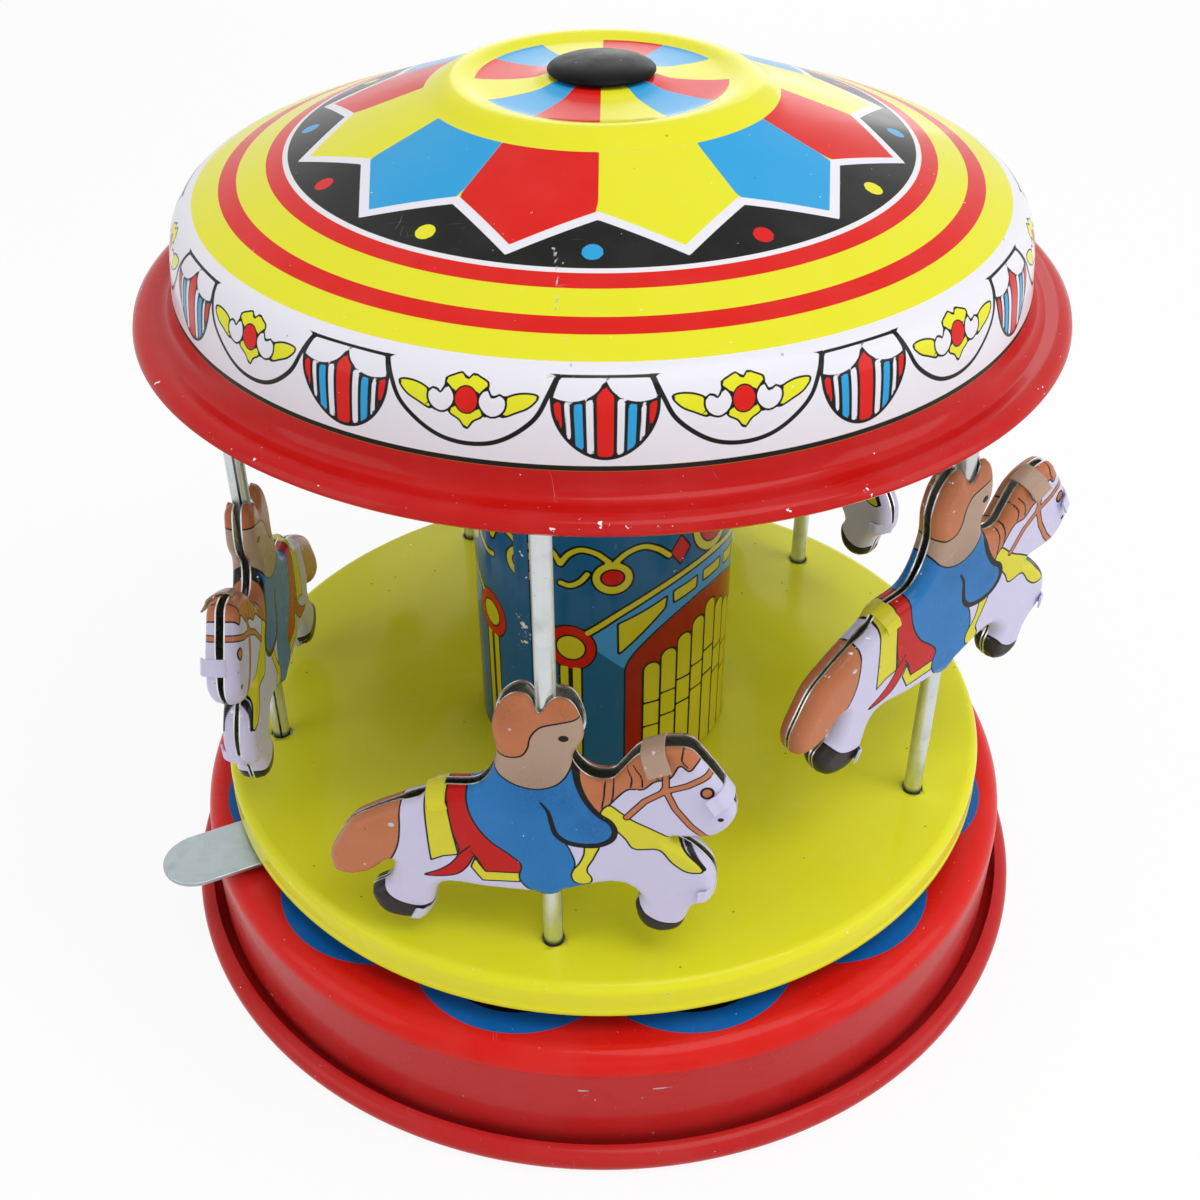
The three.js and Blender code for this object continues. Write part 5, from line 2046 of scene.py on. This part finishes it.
@dataclass(frozen=True)
class Tab:
    """A folded tab of the far half's sheet that wraps over the gap onto the near half's face."""

    edge: int
    share: float
    ink: Ink
    width: float
    reach: float
    lift: float


@dataclass(frozen=True)
class Figure:
    """A horse and its rider as two stamped halves that hold the pole between them."""

    depth: float = 3.05
    head_depth: float = 2.8
    wall: float = 0.24
    shoulder: float = 2.1
    swell: float = 0.25
    swell_width: float = 2.0
    gap: float = 0.2
    opening: float = 0.95
    chest: tuple[float, float] = (24, 19)
    chest_opening: float = 0.4
    rump: tuple[float, float] = (-21.4, 27)
    rump_opening: float = 0.5
    sheet: float = 0.35
    pole_room: float = 2.05
    pitch: float = 0.27
    tab_sheet: float = 0.34

    def plan(self) -> FlatGrid:
        """The figure's outline filled with a square grid."""
        curve = through(FIGURE_OUTLINE, 7)
        return grid_within(lambda p: area_distance(p, curve), (-37, -1), (30, 52), self.pitch)

    def seam(self, spot: Array, gape: float) -> Array:
        """Half the gap between the halves.

        It is gap + gape (opening s + chest_opening e^-(d / 5)^2 + rump_opening e^-(r / 2)^4), where s is
        a smooth step of the height from 23 to 38, d the distance from the chest and r that from the
        rump. Round the pole it is never less than the pole's room, sqrt(room^2 - x^2).

        Args:
            spot: Distance forward of the pole and height above the lowest hoof.
            gape: How far this figure's halves have sprung apart, from 0 to 1.

        Returns:
            Array of half gaps.
        """
        rise = np.clip((spot[:, 1] - 23) / 15, 0, 1)
        rise = rise**2 * (3 - 2 * rise)
        near = np.exp(-((np.linalg.norm(spot - np.array(self.chest), axis=1) / 5) ** 2))
        behind = np.exp(-((np.linalg.norm(spot - np.array(self.rump), axis=1) / 2) ** 4))
        spring = self.opening * rise + self.chest_opening * near + self.rump_opening * behind
        room = np.sqrt(np.maximum(self.pole_room**2 - spot[:, 0] ** 2, 0))
        return np.maximum(self.gap + gape * spring, room)

    def skin(self, grid: FlatGrid, printed: Fields, gape: float) -> tuple[Surface, Surface]:
        """The two halves about the pole, looking along +X.

        The depth of the skin at distance d from the outline is
        wall + (full - wall) sqrt(1 - (1 - d / shoulder)^2) up to the shoulder and full from there on,
        where full = depth - swell e^(-(d - shoulder) / swell_width).

        Args:
            grid: The figure's plan.
            printed: The print's fields at the plan's points.
            gape: How far the halves have sprung apart.

        Returns:
            The right half and the left half.
        """
        x, z = grid.points.T
        seam = self.seam(grid.points, gape)
        wall = seam + self.wall
        share = np.clip(grid.depth / self.shoulder, 0, 1)
        profile = np.sqrt(np.maximum(1 - (1 - share) ** 2, 0))
        depth = np.interp(z, [36, 46], [self.depth, self.head_depth])
        full = depth - self.swell * np.exp(-np.maximum(grid.depth - self.shoulder, 0) / self.swell_width)
        out = wall + (full - wall) * profile
        lean = (full - wall) * (1 - share) / np.maximum(profile, 0.05) / self.shoulder
        lean = np.where(grid.rim, 1e3, lean)
        slope = grid.slope * lean[:, None]
        normal = unit(column(slope[:, 0], np.ones(len(x)), slope[:, 1]))
        face = column(x, out, z)
        rim = np.nonzero(grid.rim)[0]
        place_in_rim = np.full(len(x), -1)
        place_in_rim[rim] = np.arange(len(rim))
        low = column(x[rim], seam[rim], z[rim])
        inner_face = face - self.sheet * normal
        inner_low = low - self.sheet * normal[rim]
        points = np.vstack([face, low, inner_face, inner_low])
        count, rims = len(face), len(rim)
        a, b = grid.rim_edges.T
        a_low, b_low = place_in_rim[a] + count, place_in_rim[b] + count
        inside = count + rims
        a_in, b_in = a + inside, b + inside
        a_in_low, b_in_low = place_in_rim[a] + inside + count, place_in_rim[b] + inside + count
        faces = [
            grid.quads, column(b, a, a_low, b_low), column(b_low, a_low, a_in_low, b_in_low),
            column(b_in_low, a_in_low, a_in, b_in), grid.quads[:, ::-1] + inside,
        ]
        outward = np.tile(np.vstack([normal, normal[rim]]), (2, 1))
        level = np.tile([0.0, -1.0, 0.0], (len(points), 1))
        normals = [outward, outward, level, -outward, -outward]
        fields = {name: np.tile(np.concatenate([v, v[rim]]), 2) for name, v in printed.items()}
        chips = (((-5, 44.3), (0.28, 0.24)), ((-24.6, 22.4), (0.55, 0.42)), ((-29.8, 12.9), (0.22, 0.3)))
        worn = joined(
            *(oval_distance(grid.points, *chip) for chip in chips),
            line_distance(grid.points, ((0.4, 42.5), (1.6, 42.2), (2.4, 42.4))) - 0.02,
        )
        fields["edge"] = np.tile(np.concatenate([grid.depth + 0.3, np.zeros(rims)]), 2)
        fields["mark"] = np.tile(np.concatenate([worn, worn[rim]]), 2)
        slots, flip = [0, 2, 2, 1, 1], np.array([1.0, -1.0, 1.0])
        left = Surface(points, [group[:, ::-1] for group in faces], fields, slots, normals)
        right = Surface(points * flip, faces, fields, slots, [group * flip for group in normals])
        return right, left

    def tab(self, tab: Tab, gape: float) -> Surface:
        """A strip that starts at the far half's rim, bends over the gap and lies on the near half's face.

        Args:
            tab: The tab's place and size.
            gape: How far the halves have sprung apart.

        Returns:
            The closed strip.
        """
        first, second = np.array(FIGURE_OUTLINE)[[tab.edge, (tab.edge + 1) % len(FIGURE_OUTLINE)]]
        middle, run = first + (second - first) * tab.share, unit(second - first)
        out = np.array([run[1], -run[0]])
        half_gap = float(self.seam(middle[None], gape)[0])
        rim, deep = half_gap + self.wall, self.depth + self.tab_sheet / 2
        reach = softened((
            (-0.35, half_gap + 0.5), (0.2, half_gap + 0.3), (0.42, half_gap - 0.3), (0.44, 0),
            (0.42, -half_gap), (0.25, -rim - 0.4), (-0.25, -(rim + deep) / 2 - 0.35), (-1.0, -deep - 0.05),
            (-1.6, -deep - 0.12), (-tab.reach, -deep - 0.15 - tab.lift),
        ), 5)
        path = column(middle[0] + out[0] * reach[:, 0], reach[:, 1], middle[1] + out[1] * reach[:, 0])
        side = np.tile([run[0], 0.0, run[1]], (len(path), 1))
        half, thick = tab.width / 2, self.tab_sheet / 2
        corners = ((0, thick), (half, thick), (half, -thick), (-half, -thick), (-half, thick), (0, thick))
        section = softened(corners, 3, 0.12)
        strip = swept(section[:-1], path, side)
        from_side = np.tile(half - np.abs(section[:-1, 0]), len(path))
        edge = np.concatenate([from_side, [0.0, 0.0]])
        strip.fields = {"edge": edge, "mark": np.full(len(edge), FAR)}
        return strip


@dataclass(frozen=True)
class Riders:
    """Five horses and riders at the places, heights and headings of the frame's figures."""

    swivels: tuple[float, ...] = (0, -25, 168.6, 0, -11.5)
    gapes: tuple[float, ...] = (1.0, 0.4, 0.5, 0.5, 0.45)
    tabs: tuple[Tab, ...] = (
        Tab(51, 0.86, Ink.LEMON, 3.0, 2.4, 0.1),
        Tab(35, 0.45, Ink.FACE, 3.8, 2.9, 0.8),
        Tab(32, 0.17, Ink.HORSE, 2.9, 2.7, 0.5),
        Tab(24, 0.25, Ink.HORSE, 2.2, 2.2, 0.3),
        Tab(13, 0.12, Ink.HORSE, 2.4, 2.2, 0.3),
    )

    def dressed(self, finishes: Finishes) -> None:
        """Builds each pair of halves from one plan and one print, with its tabs, and the sleeve inside."""
        figure, printed = Figure(), HorsePrint()
        grid = figure.plan()
        fields = printed.fields(grid.points)
        skin_set = [finishes.get(printed.ink()), finishes.get(PLAIN_TIN), finishes.get(CUT_EDGE)]
        for number, spot in enumerate(pole_axes(), 1):
            gape = self.gapes[number - 1]
            right, left = figure.skin(grid, fields, gape)
            low, _ = box_of(f"horse_right_half_{number}")
            heading = math.degrees(math.atan2(spot[1], spot[0])) + 90 + self.swivels[number - 1]
            place = (spot[0], spot[1], low[2])
            body = f"horse_{number}"
            for side, half in (("right", right), ("left", left)):
                piece = half.placed(heading, place).write(f"horse_{side}_skin_{number}", skin_set)
                dress(piece, body, Slot.HORSE, f"horse_{side}_half_{number}")
            for count, tab in enumerate(self.tabs, 1):
                ink = finishes.get(Lacquer(f"tab_{tab.ink.name.lower()}", tab.ink, chips=0.3))
                strip = figure.tab(tab, gape).placed(heading, place)
                dress(strip.write(f"folded_tab_{number}_{count}", [ink]), body, Slot.HORSE)
            self.sleeve(number, finishes)

    @staticmethod
    def sleeve(number: int, finishes: Finishes) -> None:
        """The steel sleeve that slides on the pole inside a figure."""
        low, high = box_of(f"pole_sleeve_{number}")
        tall = high[2] - low[2]
        Turned(f"pole_sleeve_{number}", f"slider_{number}", Slot.STEEL, STEEL,
               ((1.8, 0), (2.3, 0), (2.3, tall), (1.8, tall)), 0.1, 36).dressed(finishes)


# ----- studio -----


@dataclass(frozen=True)
class Studio:
    """Plain pale floor, soft lights and a camera that looks down on the toy's front."""

    camera_place: tuple[float, float, float] = (0.0, -0.22803, 0.2301)
    look: tuple[float, float, float] = (0.0, 0.7998, -0.6003)
    lens: float = 45.0
    shift_x: float = -0.0026
    roll_degrees: float = -0.16
    world_light: float = 0.47
    lamp_size: float = 0.6
    lamps: tuple[tuple[str, tuple[float, float, float], float, float], ...] = (
        ("key_light", (0.26, -0.28, 0.95), 0.08, 4.1),
        ("front_light", (0.1, -1.1, 0.5), 0.07, 0.5),
        ("back_light", (0.1, 0.95, 0.4), 0.07, 1.5),
        ("left_light", (-0.9, -0.4, 0.45), 0.07, 1.6),
        ("right_light", (0.95, -0.3, 0.42), 0.07, 2.2),
    )

    def camera(self) -> None:
        """Places the camera."""
        data = bpy.data.cameras.new("camera")
        data.lens, data.sensor_width, data.shift_x = self.lens, 36.0, self.shift_x
        data.clip_start, data.clip_end = 0.01, 20.0
        camera = bpy.data.objects.new("camera", data)
        back = -Vector(self.look).normalized()
        right = Vector((0, 0, 1)).cross(back).normalized()
        up = back.cross(right)
        roll = Matrix.Rotation(math.radians(self.roll_degrees), 3, "Z")
        turn = Matrix((right, up, back)).transposed() @ roll
        camera.matrix_world = Matrix.Translation(self.camera_place) @ turn.to_4x4()
        bpy.context.scene.collection.objects.link(camera)
        bpy.context.scene.camera = camera

    def world(self) -> None:
        """White to the camera and in reflections, and a plain level of light on everything else."""
        tree = NodeTree(bpy.data.worlds.new("studio"))
        numbers = {"Value": tree.seen_rays(), "To Min": self.world_light, "To Max": 1.0}
        level = tree.add("ShaderNodeMapRange", numbers).outputs[0]
        background = tree.add("ShaderNodeBackground", {"Color": (1, 1, 1, 1), "Strength": level})
        tree.add("ShaderNodeOutputWorld", {0: background.outputs[0]})
        bpy.context.scene.world = tree.owner

    def lamp(self, name: str, place: Sequence[float], level: float, power: float) -> None:
        """A square soft light that faces a point of the toy's axis.

        Args:
            name: Its name.
            place: Where it hangs, in metres.
            level: Height of the point that it faces, in metres.
            power: Its power in watts.
        """
        data = bpy.data.lights.new(name, "AREA")
        data.shape, data.size, data.energy = "SQUARE", self.lamp_size, power
        lamp = bpy.data.objects.new(name, data)
        lamp.location = place
        lamp.rotation_euler = (Vector(place) - Vector((0, 0, level))).to_track_quat("Z", "Y").to_euler()
        bpy.context.scene.collection.objects.link(lamp)

    def floor(self) -> None:
        """A white floor that keeps part of the toy's shadow."""
        size, level = 3.0, -0.0001
        mesh = bpy.data.meshes.new("floor")
        corners = [(-size, -size, level), (size, -size, level), (size, size, level), (-size, size, level)]
        mesh.from_pydata(corners, [], [(0, 1, 2, 3)])
        tree = NodeTree(bpy.data.materials.new("floor_white"))
        paper = tree.add("ShaderNodeBsdfDiffuse", {"Color": (0.94, 0.94, 0.94, 1)})
        glow = tree.add("ShaderNodeEmission", {"Color": (1, 1, 1, 1), "Strength": 1.0})
        seen = tree.times(tree.seen_rays(), 0.9)
        mix = tree.add("ShaderNodeMixShader", {0: seen, 1: paper.outputs[0], 2: glow.outputs[0]})
        tree.add("ShaderNodeOutputMaterial", {0: mix.outputs[0]})
        mesh.materials.append(tree.owner)
        floor = bpy.data.objects.new("floor", mesh)
        bpy.context.scene.collection.objects.link(floor)

    def build(self) -> None:
        """Sets up everything around the toy."""
        bpy.context.scene.view_settings.view_transform = "Standard"
        self.camera()
        self.world()
        for lamp in self.lamps:
            self.lamp(*lamp)
        self.floor()


def keep_small_parts(finishes: Finishes) -> None:
    """Gives the gears and the click, which keep the frame's own shape, their metals."""
    for name, finish in (("drive_pinion", BRASS), ("ratchet_wheel", STEEL), ("click", STEEL)):
        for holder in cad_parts[name].material_slots:
            holder.material = finishes.get(finish)
        log.info("%s keeps its shape, with %s", name, finish.name)


def main() -> None:
    """Builds the toy piece by piece."""
    logging.basicConfig(level=logging.INFO, format="%(name)s: %(message)s")
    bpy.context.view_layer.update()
    finishes = Finishes()
    Studio().build()
    BasePan().dressed(finishes)
    BottomPlate().dressed(finishes)
    for part in TURNED_PARTS:
        part.dressed(finishes)
    FingerLever().dressed(finishes)
    ReturnSpring().dressed(finishes)
    keep_small_parts(finishes)
    Platform().dressed(finishes)
    CeilingRing().dressed(finishes)
    Poles().dressed(finishes)
    OrganColumn().dressed(finishes)
    Canopy().dressed(finishes)
    Cap().dressed(finishes)
    Riders().dressed(finishes)


if __name__ == "__main__":
    main()
